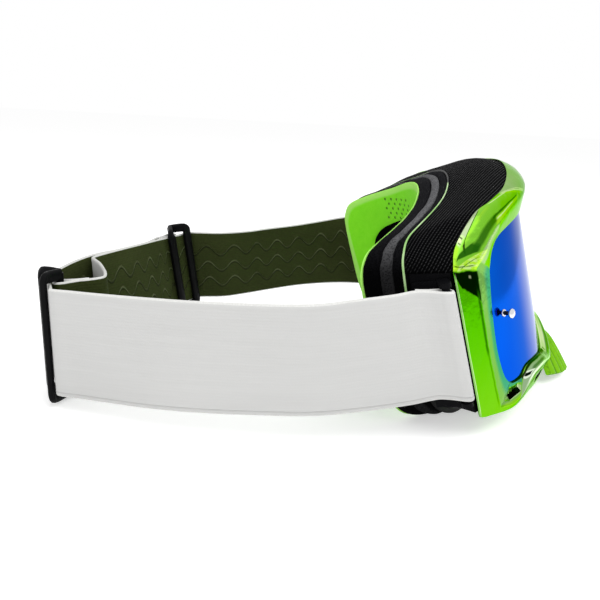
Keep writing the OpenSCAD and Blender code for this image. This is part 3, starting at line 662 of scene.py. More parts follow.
mirror_blue = Finish("mirror_blue", Metallic=1.0, Roughness=0.06, Specular_Tint=(0.55, 0.62, 0.85))
haze = mirror_blue.noise(28, 2, vector=mirror_blue.stretched(1, 1, 0.3))
blue = mirror_blue.mix(mirror_blue.height().step(0.0, 0.09), (0.0, 0.072, 0.62), (0.0, 0.112, 0.66))
grazing = mirror_blue.node("ShaderNodeLayerWeight", None, {"Blend": 0.5}, out=1)
blue = mirror_blue.mix(grazing.step(0.45, 0.72), blue, (0.0, 0.082, 0.47))
blue = mirror_blue.mix(grazing.step(0.64, 0.97), blue, (0.50, 0.46, 0.50))
mirror_blue.wear(Base_Color=mirror_blue.mix(haze.step(0.35, 0.75), blue, (0.0, 0.062, 0.48)))
mirror_blue.wear(Roughness=mirror_blue.noise(700, 3, 0.6).step(0.6, 0.85) * 0.08 + 0.05)
dress(lens_piece, mirror_blue, "goggles", "lens_blue", "lens")

# %% [markdown]
# The tear-off posts are turned steel pins: a base disc on the lens, a thin neck, and a round head. A profile of a few
# points is spun round the post's axis, which stands square on the lens.

# %% Tear-off posts
POST_X, POST_Z = 64.0, 13.4
PROFILE = [(0, -2.4), (0.9, -2.4), (0.9, 0.0), (1.5, 0.0), (1.6, 0.15), (1.5, 0.35), (1.0, 0.45), (0.9, 0.6),
           (0.88, 1.6), (0.92, 2.6), (1.4, 2.75), (1.95, 3.1), (2.1, 3.6), (1.95, 4.1), (1.35, 4.5),
           (0.6, 4.68), (0, 4.7)]
steel = Finish("turned_steel", Metallic=1.0, Roughness=0.18)
rings = steel.noise(1500, 2, vector=steel.stretched(1, 0.2, 1))
steel.wear(Base_Color=steel.mix(rings, (0.62, 0.63, 0.66), (0.85, 0.86, 0.88)), Roughness=rings * 0.2 + 0.1)
steel.bumped(rings, 0.00003)
blackened = Finish("blackened_steel", Metallic=0.8, Roughness=0.35)
blackened.wear(Base_Color=blackened.mix(blackened.noise(900), (0.004, 0.004, 0.006), (0.02, 0.02, 0.025)))
for post_side, hand in (("right", -1), ("left", 1)):
    turned = bmesh.new()
    line = [turned.verts.new((r, 0, z)) for r, z in PROFILE]
    edges = [turned.edges.new(pair) for pair in zip(line, line[1:])]
    bmesh.ops.spin(turned, geom=line + edges, cent=(0, 0, 0), axis=(0, 0, 1), angle=2 * pi, steps=32, use_merge=True)
    bmesh.ops.remove_doubles(turned, verts=turned.verts, dist=1e-4)
    bmesh.ops.recalc_face_normals(turned, faces=turned.faces)
    out = Vector((hand * POST_X, -sqrt(LENS_R**2 - POST_X**2), 0)).normalized()
    stand = out.to_track_quat("Z", "Y").to_matrix()
    foot = Vector((hand * POST_X, lens_y(POST_X), POST_Z))
    for face in turned.faces:
        face.material_index = 1 if 0.5 < face.calc_center_median().z < 2.7 else 0
    for vertex in turned.verts:
        vertex.co = on_goggles(stand @ vertex.co + foot)
    post = show("tear_off_pin_" + post_side, turned, sharp=50)
    dress(post, steel, "goggles", "post_metal", "tear_off_post_" + post_side)
    post.data.materials.append(blackened.material)

# %% [markdown]
# ## Chassis and gasket
# The chassis is a soft black plastic ring behind the frame. Little of it shows, so it keeps the CAD shape's sections
# with rounded corners. Its back edge follows the foam, so the foam's depths and outlines come first. The gasket, the
# washers and the anchors keep their CAD nodes and get a fitting finish.

# %% Foam layers' depths and outlines
FLEECE, CORE, BASE, BACKING, FLANGE, SEAM, SWELL = 1.2, 5.8, 4.0, 3.6, 1.2, 0.25, 0.8
DEPTHS = [0.0]
for thickness in (FLEECE, CORE, BASE, BACKING, FLANGE):
    DEPTHS.append(DEPTHS[-1] + thickness)


def outer_at(i, grow, depth):
    x, z = toward(face_outer[i], face_inner[i], -grow)
    return Vector((x, face_y(x, depth), z))


def inner_at(i, inset, depth):
    x, z = toward(face_inner[i], face_outer[i], inset)
    return Vector((x, face_y(x, depth), z))


# %% Chassis
CHASSIS_WALL, CHASSIS_GAP, CHASSIS_IN, GAP = 1.6, 0.55, 0.8, 0.3


def chassis_section(i):
    r, e = rim[i], edge[i]
    front = toward(r, e, LENS_LAP - 0.3)
    mid = toward(e, r, FRAME_WALL + CHASSIS_GAP)
    back, back_in = outer_at(i, 1, DEPTHS[5]), outer_at(i, 1 - CHASSIS_WALL, DEPTHS[5])
    mid_in, lip, front_in = toward(mid, r, CHASSIS_WALL), toward(r, e, -0.5), toward(front, r, CHASSIS_WALL)
    behind = LENS_T + GASKET_T + GAP
    y_front, y_lip = lens_y(toward(r, e, LENS_LAP + LENS_GAP)[0], behind), lens_y(lip[0], behind)
    corners = [Vector(p) for p in (
        (front[0], y_front, front[1]), (mid[0], e[2] + CHASSIS_IN, mid[1]), back, back_in,
        (mid_in[0], e[2] + CHASSIS_IN + 0.5, mid_in[1]), (front_in[0], y_front + CHASSIS_WALL, front_in[1]),
        (lip[0], y_lip + CHASSIS_WALL, lip[1]), (lip[0], y_lip, lip[1]))]
    return softened(corners, 0.4)


satin_black = Finish("satin_black", Roughness=0.5, Specular_IOR_Level=0.04)
pebble = satin_black.cells(1400)
satin_black.wear(Base_Color=satin_black.mix(satin_black.noise(60), (0.002, 0.002, 0.0025), (0.006, 0.006, 0.007)),
                 Roughness=satin_black.noise(300).step(0.3, 0.8) * 0.2 + 0.4)
satin_black.bumped(pebble, 0.00006)
chassis_piece = bent("chassis_shell", both_sides([chassis_section(i) for i in range(len(rim))]), ring=True)
dress(chassis_piece, satin_black, "goggles", "chassis_black", "face_chassis")

rubber_black = Finish("gasket_rubber", Roughness=0.8, Specular_IOR_Level=0.1)
rubber_black.wear(Base_Color=rubber_black.mix(rubber_black.noise(90), (0.003, 0.003, 0.003), (0.01, 0.01, 0.01)))
rubber_black.bumped(rubber_black.noise(2500, 2), 0.00004)


def refinish(finish, *names):
    """A CAD node whose shape is right keeps it and gets a better material."""
    for name in names:
        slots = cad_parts[name].data.materials
        slots.clear()
        slots.append(finish.material)


refinish(rubber_black, "lens_gasket", "post_washer_right", "post_washer_left")
refinish(satin_black, "strap_anchor_right", "strap_anchor_left")

# %% [markdown]
# ## Face foam
# Five layers are glued in a stack: the thin flange, firm black foam, grey foam, soft black foam, and the fleece that
# lies on the skin. Die-cut foam has a slightly crowned edge and wanders a little, so each layer's side bulges between
# its two glue lines and gets a slow unevenness. It is firm foam laminate, so moving its points gives the right
# form, and no cloth simulation is needed.

# %% Foam: bent layers with crowned sides
WANDER = 0.18


def foam_section(i, grow_back, back, grow_front, front, crown_out):
    """The inner side, then the outer side with a crown; depths run from the face towards the lens."""
    wave = WANDER * sin(i * 0.61 + front) * sin(i * 0.23)
    sides = []
    for t in (0.04, 0.15, 0.32, 0.5, 0.68, 0.85, 0.96):
        depth = back + (front - back) * t
        bulge = crown_out * 4 * t * (1 - t)
        sides.append((t, depth, bulge))
    inner = [inner_at(i, -0.5 * bulge + wave, depth) for t, depth, bulge in sides]
    outer = [outer_at(i, grow_back + (grow_front - grow_back) * t + bulge + wave, depth) for t, depth, bulge in sides]
    return ([inner_at(i, 0.8, back)] + inner + [inner_at(i, 0.8, front), outer_at(i, grow_front - 0.8, front)]
            + outer[::-1] + [outer_at(i, grow_back - 0.8, back)])


def foam_ring(name, grow_back, layer, grow_front, crown_out):
    back, front = DEPTHS[layer], DEPTHS[layer + 1] - SEAM
    return bent(name, both_sides([foam_section(i, grow_back, back, grow_front, front, crown_out)
                                  for i in range(len(rim))]), ring=True)


def foam_finish(name, dark, light, pore_scale, depth):
    """Open-cell foam: pores darken the colour and dent the surface; painted light from above brightens it higher up.
    """
    made = Finish(name, Roughness=1.0, Specular_IOR_Level=0.03)
    pores = made.cells(pore_scale).step(0.15, 0.6)
    fuzz = made.noise(pore_scale * 1.7, 4, 0.7)
    worn = made.noise(45, 2).step(0.3, 0.8)
    grain = pores * 0.6 + fuzz * 0.3 + worn * 0.25
    # Painted light: a shaded copy of the colour low down and a lit copy high up, blended by height, as light falls
    # from above.
    low, high = (made.mix(grain, tuple(c * lit for c in dark), tuple(c * lit for c in light)) for lit in (0.25, 2.1))
    made.wear(Base_Color=made.mix(made.height().step(64 * MM, 88 * MM), low, high))
    made.bumped(pores + fuzz * 0.7, depth)
    return made


foam_black = foam_finish("foam_black", (0.001, 0.001, 0.0013), (0.007, 0.007, 0.008), 1500, 0.00022)
foam_grey = foam_finish("foam_grey", (0.028, 0.028, 0.030), (0.072, 0.072, 0.075), 1300, 0.00025)
backing_piece = foam_ring("foam_backing_layer", SWELL + 0.3, 3, 2.2, 0.25)
base_piece = foam_ring("foam_base_layer", SWELL, 2, SWELL + 0.3, 0.75)
core_piece = foam_ring("foam_core_layer", 0.0, 1, SWELL, 0.5)
for piece, finish, slot_name, node_name in (
        (backing_piece, foam_black, "foam_black", "foam_backing"), (base_piece, foam_grey, "foam_grey", "foam_base"),
        (core_piece, foam_black, "foam_black", "foam_core")):
    dress(piece, finish, "goggles", slot_name, node_name)

# %% [markdown]
# The fleece is lime plush with a short nap. It is perforated above the eyes so that air gets to the skin: rows of
# small holes, which the finish draws as dark dents on the piece's own coordinates. The `Mapping` node turns the
# pattern so that its rows follow the goggles' lean.

# %% Fleece
def fleece_section(i):
    """The nap wraps the foam's edge: full on the face side, thin at the glue line."""
    points = [inner_at(i, 0.9, FLEECE - SEAM), inner_at(i, 0.05, FLEECE - SEAM - 0.1), inner_at(i, 0.0, 0.45),
              inner_at(i, 0.6, -0.05), inner_at(i, 2.0, -0.35)]
    a, b = inner_at(i, 2.0, 0), outer_at(i, -2.6, 0)
    for k in range(1, 8):
        x, z = a.x + (b.x - a.x) * k / 8, a.z + (b.z - a.z) * k / 8
        points.append(Vector((x, face_y(x, -0.4 - 0.12 * sin(k * pi / 8)), z)))
    points += [outer_at(i, -2.6, -0.35), outer_at(i, -1.0, -0.1), outer_at(i, -0.1, 0.45),
               outer_at(i, 0.0, FLEECE - SEAM - 0.1), outer_at(i, -0.9, FLEECE - SEAM)]
    return points


fleece_piece = bent("face_fleece_nap", both_sides([fleece_section(i) for i in range(len(rim))]), ring=True,
                    marks=lambda row, column: (row, 1.0 if 12 <= column <= 16 else 0.0))
fleece_lime = Finish("fleece_lime", Roughness=0.95, Specular_IOR_Level=0.1, Sheen_Weight=0.2, Sheen_Roughness=0.4,
                     Sheen_Tint=(0.75, 1.0, 0.45))
upright_fleece = fleece_lime.node("ShaderNodeMapping", None, {
    "Vector": fleece_lime.place(), "Rotation": (STANCE + LEAN, 0.0, 0.0)})
across_face, _, up_face = fleece_lime.axes(upright_fleece)
COLUMN, ROW, HOLE_R = 5.4 * MM, 2.7 * MM, 0.7 * MM
row = (up_face - 57 * MM) / ROW
column = (across_face.size() - 19.5 * MM) / COLUMN + (row / 2).fract().step(0.49, 0.51) * 0.5
aside, above = (column.fract() - 0.5) * COLUMN, (row.fract() - 0.5) * ROW
near_hole = (aside * aside + above * above).power(0.5)
in_patch = column.step(-0.1, 0.0) * column.step(5.1, 5.0) * row.step(-0.1, 0.0) * row.step(5.1, 5.0)
hole = near_hole.step(HOLE_R * 1.3, HOLE_R * 0.7) * in_patch
nap = fleece_lime.noise(1800, 4, 0.75)
clump = fleece_lime.noise(260, 3, 0.6)
lime = fleece_lime.mix(nap * 0.6 + clump * 0.4, (0.17, 0.84, 0.008), (0.34, 1.0, 0.04))
# Painted highlight: the fleece's outer rim is painted a paler lime, as where it catches the light.
rim_highlight = fleece_lime.attribute("ring").step(0.1, 1.0)
lime = fleece_lime.mix(rim_highlight * 0.8, lime, (0.50, 0.98, 0.20))
fleece_lime.wear(Base_Color=fleece_lime.mix(hole * 0.7, lime, (0.02, 0.10, 0.0)))
fleece_lime.bumped(nap * 0.6 + clump * 0.5 - hole * 2.5, 0.0004)
dress(fleece_piece, fleece_lime, "goggles", "fleece_lime", "face_fleece")

# %% [markdown]
# The flange is the thin moulded edge that the foam is glued to. It is black, with a bright plated line along its
# outer edge that shows between mesh and foam round the brow and temples.

# %% Flange
def flange_section(i):
    back, front = DEPTHS[4], DEPTHS[5] - SEAM
    return softened_marks([inner_at(i, 0, back), inner_at(i, 0, front), outer_at(i, 2.4, front),
                           outer_at(i, 2.9, (back + front) / 2), outer_at(i, 2.4, back)], 0.25)


flange_half = [flange_section(i) for i in range(len(rim))]
flange_marks = [mark for _, mark in flange_half[0]] + [flange_half[0][0][1]]
flange_piece = bent("flange_edge", both_sides([[p for p, _ in s] for s in flange_half]), ring=True,
                    marks=lambda row, column: (key_of(row), flange_marks[column]))
pale_green = Finish("flange_two_tone", Roughness=0.3, Specular_IOR_Level=0.1)
key_place, corner_place = pale_green.attribute("station"), pale_green.attribute("ring")
plated = (key_place.step(1.2, 1.35) * key_place.step(8.4, 8.1) * corner_place.step(2.2, 2.4)
          * corner_place.step(3.5, 3.3))
plate_tone = pale_green.mix(pale_green.noise(120, 2).step(0.3, 0.7), (0.30, 0.56, 0.18), (0.56, 0.76, 0.42))
pale_green.wear(Base_Color=pale_green.mix(plated, (0.003, 0.003, 0.003), plate_tone),
                Roughness=pale_green.noise(500, 3) * 0.2 + 0.3)
dress(flange_piece, pale_green, "goggles", "flange_pale", "face_flange")

# %% [markdown]
# ## Vent mesh
# Behind the frame a black knitted mesh covers the vents of brow and temples. Its knots stand in slanting ribs: the
# finish counts ribs on the object's own axes and knots along the UV map, and shifts every second rib by half a knot.

# %% Mesh skins
MESH_T = 1.2


def mesh_section(i):
    r, e = rim[i], edge[i]
    mid = toward(e, r, FRAME_WALL)
    y = e[2] + 0.1
    back, back_out = outer_at(i, 1 + GAP, DEPTHS[5]), outer_at(i, 1 + GAP + MESH_T, DEPTHS[5])
    mid_out = toward(mid, r, -MESH_T)
    under = [Vector((mid[0], y, mid[1])), back]
    sheet = []
    crown_up = between(i / FINE, (0, 2.6), (3, 2.4), (4, 1.5), (5.5, 0.5), (7, 0.3))
    for k in range(13):
        t = k / 12
        x = back_out.x + (mid_out[0] - back_out.x) * t
        z = back_out.z + (mid_out[1] - back_out.z) * t
        sheet.append(Vector((x, back_out.y + (y - back_out.y) * t, z)) + Vector((0, 0, crown_up * sin(pi * t**1.5))))
    return under + sheet


def mesh_run(name, stations, *nodes):
    piece = bent(name, [[on_goggles(p) for p in s] for s in stations])
    dress(piece, knit_black, "goggles", "mesh_black", *nodes)


knit_black = Finish("knit_black", Roughness=0.6, Specular_IOR_Level=0.05)
along, _ = knit_black.along_across()
side_place, depth_place, height_place = knit_black.axes()
KNOT_LONG, RIB = 1.3 * MM, 1.45 * MM
rib_place = (depth_place + side_place * 0.5 + height_place * 0.42 + knit_black.noise(60, 2) * 0.8 * MM) / RIB
u = (along / KNOT_LONG + rib_place.floor() * 0.5 + knit_black.noise(300, 2) * 0.3).fract() - 0.5
v = rib_place.fract() - 0.5
knot = (u * u * 1.6 + v * v * 5.0).power(0.5).step(0.62, 0.12)
strand = v.size().step(0.24, 0.04) * u.size().step(0.5, 0.2)
fibre = knit_black.noise(2600, 3)
# Painted light: the strands are painted darker low down and lighter high up, as light falls from above.
shade = height_place.step(66 * MM, 75 * MM) * 0.85 + 0.15
knit_black.wear(Base_Color=knit_black.mix(strand * (fibre * 0.9 + 0.3) * shade,
                                          (0.0006, 0.0006, 0.0008), (0.062, 0.062, 0.065)),
                Roughness=1.0 - knot * 0.5)
knit_black.bumped(knot + fibre * 0.15, 0.0006)


brow_end, temple_end = 5 * FINE, 7 * FINE
mesh_run("brow_mesh_skin", [mirrored(mesh_section(i)) for i in range(brow_end, 0, -1)]
         + [mesh_section(i) for i in range(brow_end + 1)], "brow_vent_mesh")
left_stations = [mesh_section(i) for i in range(brow_end, temple_end + 1)]
mesh_run("temple_mesh_skin_left", left_stations, "temple_vent_mesh_left")
mesh_run("temple_mesh_skin_right", [mirrored(s) for s in left_stations], "temple_vent_mesh_right")

# %% [markdown]
# ## Nose guard
# The guard is a lime plastic hood that bends round the nose, with twelve upright ribs. Its grid runs from the top
# to the flared lower edge; the ribs come from a cosine across it and fade in under the frame.

# %% Nose guard
GUARD_TOP, GUARD_H, GUARD_HALF, GUARD_FLARE, GUARD_T = -22.7, 26.0, 21.0, 10.5, 2.0
GUARD_Y, TOP_HALF, RIBS, COLUMNS_A_RIB, RIB_H = -116, 8, 12, 12, 1.0


def guard_point(s, u, out):
    half = TOP_HALF + (GUARD_HALF - TOP_HALF) * u**0.75
    x = s * half
    y = GUARD_Y - GUARD_FLARE * u**0.65 + (8 + 6 * u) * s * s
    return on_goggles((x, y - out, GUARD_TOP - GUARD_H * u + (7 * u - 2.5 * (1 - u)) * s * s))


def guard_section(u, thin=0.0):
    columns = COLUMNS_A_RIB * RIBS
    front = []
    for c in range(columns + 1):
        rib = (0.5 - 0.5 * cos(2 * pi * c / COLUMNS_A_RIB)) ** 0.7
        front.append(guard_point(2 * c / columns - 1, u, RIB_H * rib * min(1, u * 4) * (1 - thin) - thin * 0.5))
    back = [guard_point(2 * c / 24 - 1, u, -GUARD_T + thin * 0.6) for c in range(24, -1, -1)]
    return front + back


levels = [(0.0, 1.0), (0.015, 0.3), (0.04, 0.0)] + [(u / 14, 0.0) for u in range(1, 14)] + [
    (0.965, 0.0), (0.985, 0.25), (1.0, 1.0)]
guard_piece = bent("nose_guard_hood", [guard_section(u, thin) for u, thin in levels],
                   marks=lambda row, column: (
                       row, column / COLUMNS_A_RIB if column <= COLUMNS_A_RIB * RIBS else 0.5))
lime_plastic = Finish("lime_plastic", Roughness=0.5, Specular_IOR_Level=0.08)
mottle = lime_plastic.noise(140, 3)
across_guard = lime_plastic.attribute("ring")
# Painted shade: the grooves between the ribs are painted a darker green.
groove = (across_guard.fract() - 0.5).size().step(0.30, 0.5)
lime = lime_plastic.mix(mottle, (0.14, 0.42, 0.004), (0.22, 0.52, 0.008))
lime_plastic.wear(Base_Color=lime_plastic.mix(groove * 0.9, lime, (0.05, 0.19, 0.003)),
                  Roughness=lime_plastic.noise(900, 3) * 0.3 + 0.25)
lime_plastic.bumped(lime_plastic.noise(1300, 3), 0.00005)
dress(guard_piece, lime_plastic, "nose_guard", "guard_lime", "nose_guard")

# %% [markdown]
# ## Strap
# The strap is one elastic webbing, white outside and olive inside, 47 mm wide. Each half starts at its anchor, passes
# through an adjuster, goes on round the back and ends in a sewn loop on the other adjuster. The routes are the CAD's
# own: each key is the place and height of the lower edge, and how far the upper edge stands off it.

# %% Strap routes
STRAP_W, STRAP_T, BAR_R, TAIL = 47.0, 1.4, 1.6, 9.0
LOOP_R = BAR_R + GAP + STRAP_T / 2
MID_OFF = STRAP_T / 2 + GAP + STRAP_T + GAP + BAR_R
BAR_X, BAR_Y, BAR_MID = 85.3, -60.2, 12.5
foot_y = BAR_Y * cos(LEAN) + (BAR_MID - STRAP_W / 2) * sin(LEAN)
foot_z = -BAR_Y * sin(LEAN) + (BAR_MID - STRAP_W / 2) * cos(LEAN)
rake = STRAP_W * sin(LEAN)


def looped(at, away, hand, z, ux, uy):
    """The strap's end: the sewn tail, the turn round the bar and the start of the leg."""
    sewn = STRAP_T / 2 + 0.15
    plan = [(LOOP_R + TAIL, -sewn), (LOOP_R + TAIL / 2, -sewn), (LOOP_R * 1.15, -LOOP_R * 0.7)]
    plan += [(LOOP_R * cos(radians(a)), LOOP_R * sin(radians(a))) for a in range(-70, -291, -55)]
    plan += [(LOOP_R * 1.15, LOOP_R * 0.7), (LOOP_R + TAIL / 2, sewn), (LOOP_R + TAIL, sewn)]
    c, s = cos(radians(away)), sin(radians(away))
    return [(at[0] + p * c - hand * q * s, at[1] + p * s + hand * q * c, z, ux, uy) for p, q in plan]


def beside(at, turn, t, n):
    c, s = cos(radians(turn)), sin(radians(turn))
    return at[0] + t * c - n * s, at[1] + t * s + n * c


def through(at, turn, z, ux, uy):
    return [(*beside(at, turn, t, 0), z, ux, uy) for t in (-11.2, -8, 0, 8, 11.2)]


RIGHT = {"at": (-68.5, 112.6), "turn": 25.5, "z": 0.0, "up": (0.0, -2.0)}
LEFT = {"at": (64.0, 82.5), "turn": 150.0, "z": -2.0, "up": (-12.0, 1.5)}
right_mid, left_mid = beside(RIGHT["at"], RIGHT["turn"], 0, -MID_OFF), beside(LEFT["at"], LEFT["turn"], 0, -MID_OFF)
right_start = looped((-BAR_X, foot_y), 90, 1, foot_z, 0, rake) + [
    (-88.4, -38, 2.4, -0.5, 8), (-91.5, -20, 1, -1, 4), (-94, 0, 0, -2.5, 0.5), (-94, 22, 0, -2.5, 0),
    (-92.5, 46, 0, -1, 0), (-89.5, 66, 0, 0, 0)]
right_keys = right_start + [(-84.5, 86, 0, 0, 0), (-81, 99, 0, 0, -1.2)] + through(
    RIGHT["at"], RIGHT["turn"], RIGHT["z"], *RIGHT["up"]) + [
    (-46, 116, 0, 0, 0), (-30, 114.5, 0, 0, 0), (-16, 110.5, 0, 0, 0), (2, 103.5, -1, -1.5, 0),
    (20, 98, -1.5, -5, 0), (38, 94.5, -2, -9, 1)] + looped(
    left_mid, LEFT["turn"], -1, LEFT["z"], *LEFT["up"])[::-1]
left_start = looped((BAR_X, foot_y), 90, -1, foot_z, 0, rake) + [
    (89.5, -40, 3, -2, 8), (95, -24, 2.5, -6, 4), (98, -8, 1.5, -11, 1), (95.5, 12, 0.5, -15, 0),
    (88, 31, -0.5, -15, -1), (80.5, 46, -1.2, -14.5, -3)]
left_keys = left_start + [(74.8, 60, -1.8, -13.5, -1)] + through(
    LEFT["at"], LEFT["turn"], LEFT["z"], *LEFT["up"]) + [
    (40, 90, -1.3, -9, 0.5), (19, 94.5, -0.6, -5, 0), (1, 99.5, 0, -2, 0), (-14, 106, 0, 0, 0),
    (-21.5, 108.6, 0, 0, 0), (-25.5, 106.4, 0, 0, 0), (-33, 101.5, 0, 0, 0), (-43, 96.4, 0, 0, 0),
    (-52, 92.6, 0, 0, 0), (-58.6, 91.4, 0, 0, 0)] + looped(
    right_mid, RIGHT["turn"] - 90, -1, RIGHT["z"], *RIGHT["up"])[::-1]


def route(keys, steps):
    """A smooth line through the keys, with tangents by chord length, so that uneven keys don't overshoot."""
    keys = [Vector(k) for k in keys]

    def key(i):
        if i < 0:
            return 2 * keys[0] - keys[1]
        return 2 * keys[-1] - keys[-2] if i >= len(keys) else keys[i]

    def chord(a, b):
        return hypot(b[0] - a[0], b[1] - a[1])

    def tangent(i):
        a, b, c = key(i - 1), key(i), key(i + 1)
        return (c - a) / (chord(a, b) + chord(b, c))

    made = []
    for i in range(len(keys) - 1):
        length = chord(keys[i], keys[i + 1])
        leave, reach = tangent(i) * length, tangent(i + 1) * length
        made += [cubic(keys[i], keys[i + 1], leave, reach, s / steps) for s in range(steps)]
    return made + [keys[-1]]


# %% [markdown]
# A strap's section is a flat band with round edges and a shallow woven groove 3 mm inside each. The faces are sorted
# by their side of the band: white outside, olive inside. The UV map keeps the metres along and across the webbing, so
# the weave runs on from one piece to the next.

# %% Strap bodies
STRAP_STEPS = 6


def band_section(line, i, outside):
    q, before, after = line[i], line[max(i - 1, 0)], line[min(i + 1, len(line) - 1)]
    run = Vector((after[0] - before[0], after[1] - before[1], 0)).normalized()
    out = Vector((-run.y, run.x, 0)) * outside
    up = Vector((q[3], q[4], sqrt(STRAP_W**2 - q[3] ** 2 - q[4] ** 2))) / STRAP_W
    foot = Vector((q[0], q[1], q[2]))
    half = STRAP_T / 2
    return [placed(foot + up * v + out * n * half) for v, n in BAND], foot


RISE = [(0.0, 0.0), (0.25, 0.62), (0.8, 1.0), (2.4, 1.0), (2.9, 0.88), (3.4, 1.0), (12, 1.0), (20, 1.0), (28, 1.0),
        (36, 1.0), (43.6, 1.0), (44.1, 0.94), (44.6, 1.0), (46.2, 1.0), (46.75, 0.62), (47.0, 0.0)]
BAND = RISE + [(v, -n) for v, n in RISE[-2:0:-1]]
BAND_ACROSS = [v * MM for v, _ in BAND] + [0.0]
OUTSIDE, INSIDE, EDGE = 0, 1, 2
BAND_SIDES = [EDGE] * 2 + [OUTSIDE] * 11 + [EDGE] * 4 + [INSIDE] * 11 + [EDGE] * 2


def strap_piece(name, keys, first, last, outside, start):
    line = route(keys, STRAP_STEPS)
    made = [band_section(line, i, outside) for i in range(first * STRAP_STEPS, last * STRAP_STEPS + 1)]
    length = sum((b[1] - a[1]).length for a, b in zip(made, made[1:])) * MM
    piece = bent(name, [s for s, _ in made], widths=BAND_ACROSS, start=start, materials=BAND_SIDES)
    for finish in (white_web, olive_web, edge_web):
        piece.data.materials.append(finish.material)
    return piece, start + length


def webbing(name, outer):
    """Woven elastic: yarns run along the strap; u is metres along and v metres across."""
    made = Finish(name, Roughness=0.95, Specular_IOR_Level=0.08)
    u, v = made.along_across()
    wander = made.noise(90, 2)
    yarn = ((v / (1.25 * MM) + wander * 1.2) * 2 * pi).sine() * 0.5 + 0.5
    fibre = made.noise(2200, 3, 0.6)
    streak = made.noise(420, 3, 0.6, vector=made.node("ShaderNodeCombineXYZ", None, {0: u * 0.06, 1: v}))
    if outer:
        cloud = made.noise(14, 2)
        shade = yarn * 0.05 + fibre * 0.2 + streak * 0.35 + cloud * 0.4
        hem = (v - 2.0 * MM).size().step(0.45 * MM, 0.15 * MM)
        white = made.mix(shade, (0.53, 0.53, 0.522), (0.67, 0.67, 0.66))
        made.wear(Base_Color=made.mix(hem * 0.35, white, (0.36, 0.36, 0.35)))
        made.bumped(yarn * 0.08 + fibre * 0.4 + streak * 0.6 - hem * 1.5, 0.00012)
        return made
    wave_long, wave_high, row_pitch = 15.2 * MM, 3.2 * MM, 11.2 * MM
    swing = (u / wave_long * 2 * pi).sine()
    from_middle = v - STRAP_W / 2 * MM - swing * wave_high
    offset = ((from_middle / row_pitch + 0.5).fract() - 0.5) * row_pitch
    rows = from_middle.size().step(1.51 * row_pitch, 1.49 * row_pitch)
    # The beads' lighter colour is partly their own and partly a painted highlight: broken up at random, strongest at
    # the crests.
    bead_breaks_and_crest_highlight = made.noise(70, 2).step(0.30, 0.55) * (swing.step(-1.1, 0.6) * 0.75 + 0.25)
    bead = offset.size().step(0.95 * MM, 0.35 * MM) * rows
    # Painted shade: a dark strip just beside each bead on one side, as the shadow the bead would cast.
    shade_side = (offset + 0.9 * MM).size().step(0.9 * MM, 0.3 * MM) * rows
    grain = made.noise(700, 4, 0.7)
    tone = grain * 0.5 + yarn * 0.1 + made.noise(30, 3) * 0.5
    cloth = made.mix(tone, (0.014, 0.021, 0.004), (0.060, 0.074, 0.024))
    cloth = made.mix(shade_side * 0.45, cloth, (0.008, 0.012, 0.003))
    made.wear(Base_Color=made.mix(bead * bead_breaks_and_crest_highlight * 0.8, cloth, (0.11, 0.13, 0.06)), Roughness=0.92 - bead * 0.3)
    made.bumped(bead * 1.6 + grain * 0.5 + yarn * 0.1, 0.0005)
    return made


white_web, olive_web = webbing("webbing_white", True), webbing("webbing_olive", False)
edge_web = Finish("webbing_edge", Roughness=0.95, Specular_IOR_Level=0.08)
edge_web.wear(Base_Color=edge_web.mix(edge_web.noise(1500, 3), (0.60, 0.60, 0.58), (0.80, 0.80, 0.78)))
edge_web.bumped(edge_web.noise(1900, 2), 0.0001)

straps = (
    ("strap_webbing_right", right_keys, 0, len(right_start), 1, "strap_right"),
    ("strap_webbing_right_end", right_keys, len(right_start), len(right_keys) - 1, 1, "strap_right_end"),
    ("strap_webbing_left", left_keys, 0, len(left_start), -1, "strap_left"),
    ("strap_webbing_left_end", left_keys, len(left_start), len(left_keys) - 1, -1, "strap_left_end"))
length = 0.0
for name, keys, first, last, outside, node_name in straps:
    piece, length = strap_piece(name, keys, first, last, outside, length if first else 0.0)
    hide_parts(node_name)
    print(name, "ends", round(length, 3), "m along the webbing")
    if name == "strap_webbing_right_end":
        placed((22, 98, 20))
        placed((50, 90, 20))
        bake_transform(piece)
    elif name == "strap_webbing_left_end":
        placed((-18, 107, 20))
        placed((-56, 95, 20))
        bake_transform(piece)
    else:
        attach(piece, "goggles")

# %% [markdown]
# ## Adjusters
# Each adjuster is moulded in black plastic: three upright bars, two in front of the strap that slides through it and
# one behind, where the other strap is sewn round. Arched ends join the bars over the strap's edges. A bar is a
# rounded section swept along its line.

# %% Sweep a rounded section
SQUARENESS = 0.6


def swept(line, wide, thick, corners=12):
    """Rings of a rounded section, wide x thick, along a line of points."""
    rings = []
    total = len(line)
    for i, point in enumerate(line):
        run = (line[min(i + 1, total - 1)] - line[max(i - 1, 0)]).normalized()
        side_way = run.cross(Vector((0, 1, 0)))
        if side_way.length < 0.2:
            side_way = run.cross(Vector((0, 0, 1)))
        side_way.normalize()
        other = run.cross(side_way).normalized()
        ring = []
        for k in range(corners):
            a = 2 * pi * k / corners
            x, y = (copysign(abs(v) ** SQUARENESS, v) for v in (cos(a), sin(a)))
            ring.append(point + side_way * x * wide / 2 + other * y * thick / 2)
        rings.append(ring)
    return rings


def arc_line(points, radius, parts=5):
    """A line with its inner corners rounded."""
    made = [points[0]]
    for a, b, c in zip(points, points[1:], points[2:]):
        reach = min(radius, 0.48 * (a - b).length, 0.48 * (c - b).length)
        start, end = b + (a - b).normalized() * reach, b + (c - b).normalized() * reach
        for k in range(parts + 1):
            t = k / parts
            made.append(start * (1 - t) ** 2 + b * 2 * t * (1 - t) + end * t**2)
    return made + [points[-1]]


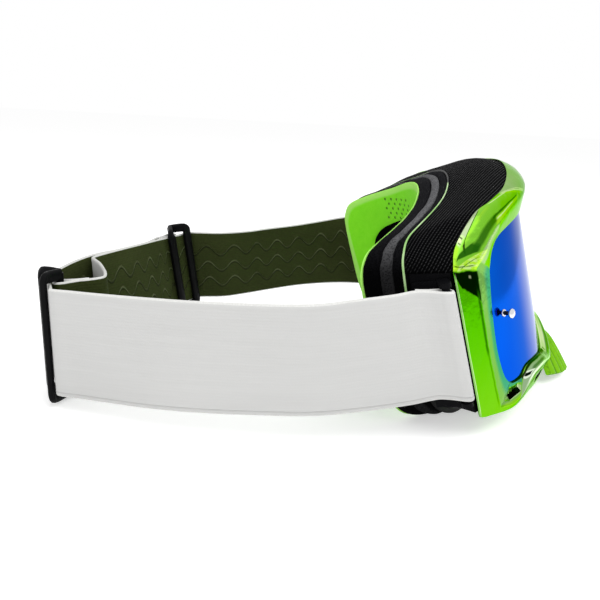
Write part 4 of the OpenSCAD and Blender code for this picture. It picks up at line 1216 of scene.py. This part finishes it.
PITCH_BARS, OUTER_OFF, PLAY, ARM = 13.0, STRAP_T / 2 + GAP + BAR_R + 0.05, 1.7, 2.4
FLAT_BAR, BAR_THICK, ARM_BEND, ARM_RISE = 5.0, 3.0, 2.6, 0.35


def on_slider(info):
    """Matrix from the slider's own axes, in drawing millimetres, to the strap's frame."""
    turn = radians(info["turn"])
    ux, uy = info["up"]
    leans, skew = -ux * sin(turn) + uy * cos(turn), ux * cos(turn) + uy * sin(turn)
    return (Matrix.Translation((info["at"][0], info["at"][1], info["z"])) @ Matrix.Rotation(turn, 4, "Z")
            @ Matrix.Rotation(-asin(leans / STRAP_W), 4, "X") @ Matrix.Rotation(asin(skew / STRAP_W), 4, "Y"))


moulded_black = Finish("moulded_black", Roughness=0.4, Specular_IOR_Level=0.05)
moulded_black.wear(Base_Color=moulded_black.mix(moulded_black.noise(200), (0.002, 0.002, 0.0025),
                                                (0.007, 0.007, 0.0075)),
                   Roughness=moulded_black.noise(500, 3).step(0.3, 0.8) * 0.25 + 0.3)
moulded_black.bumped(moulded_black.noise(1500, 3), 0.00005)
for slider_name, info in (("slider_right", RIGHT), ("slider_left", LEFT)):
    matrix = on_slider(info)
    low, high = -PLAY - ARM / 2, STRAP_W + PLAY + ARM / 2
    parts_made = []
    for hand in (-1, 1):
        x = hand * PITCH_BARS / 2
        flat_bar = [Vector(p) for p in (
            (0, -MID_OFF, low), (x * 0.5, -0.6, low - ARM_RISE), (x, OUTER_OFF, low),
            (x, OUTER_OFF, high), (x * 0.5, -0.6, high + ARM_RISE), (0, -MID_OFF, high))]
        parts_made.append(swept(arc_line(flat_bar, ARM_BEND), FLAT_BAR, BAR_THICK))
    mid_bar = [Vector((0, -MID_OFF, low - 0.8)), Vector((0, -MID_OFF, high + 0.8))]
    parts_made.append(swept([mid_bar[0].lerp(mid_bar[1], k / 10) for k in range(11)], BAR_THICK, BAR_THICK))
    whole = bmesh.new()
    for number, rings in enumerate(parts_made):
        piece = bent(f"{slider_name}_bar_{number}", [[placed(matrix @ p) for p in ring] for ring in rings])
        whole.from_mesh(piece.data)
        bpy.data.objects.remove(piece)
    slider_piece = show(slider_name + "_moulding", whole, sharp=50)
    dress(slider_piece, moulded_black, slider_name, "hardware_black", slider_name)
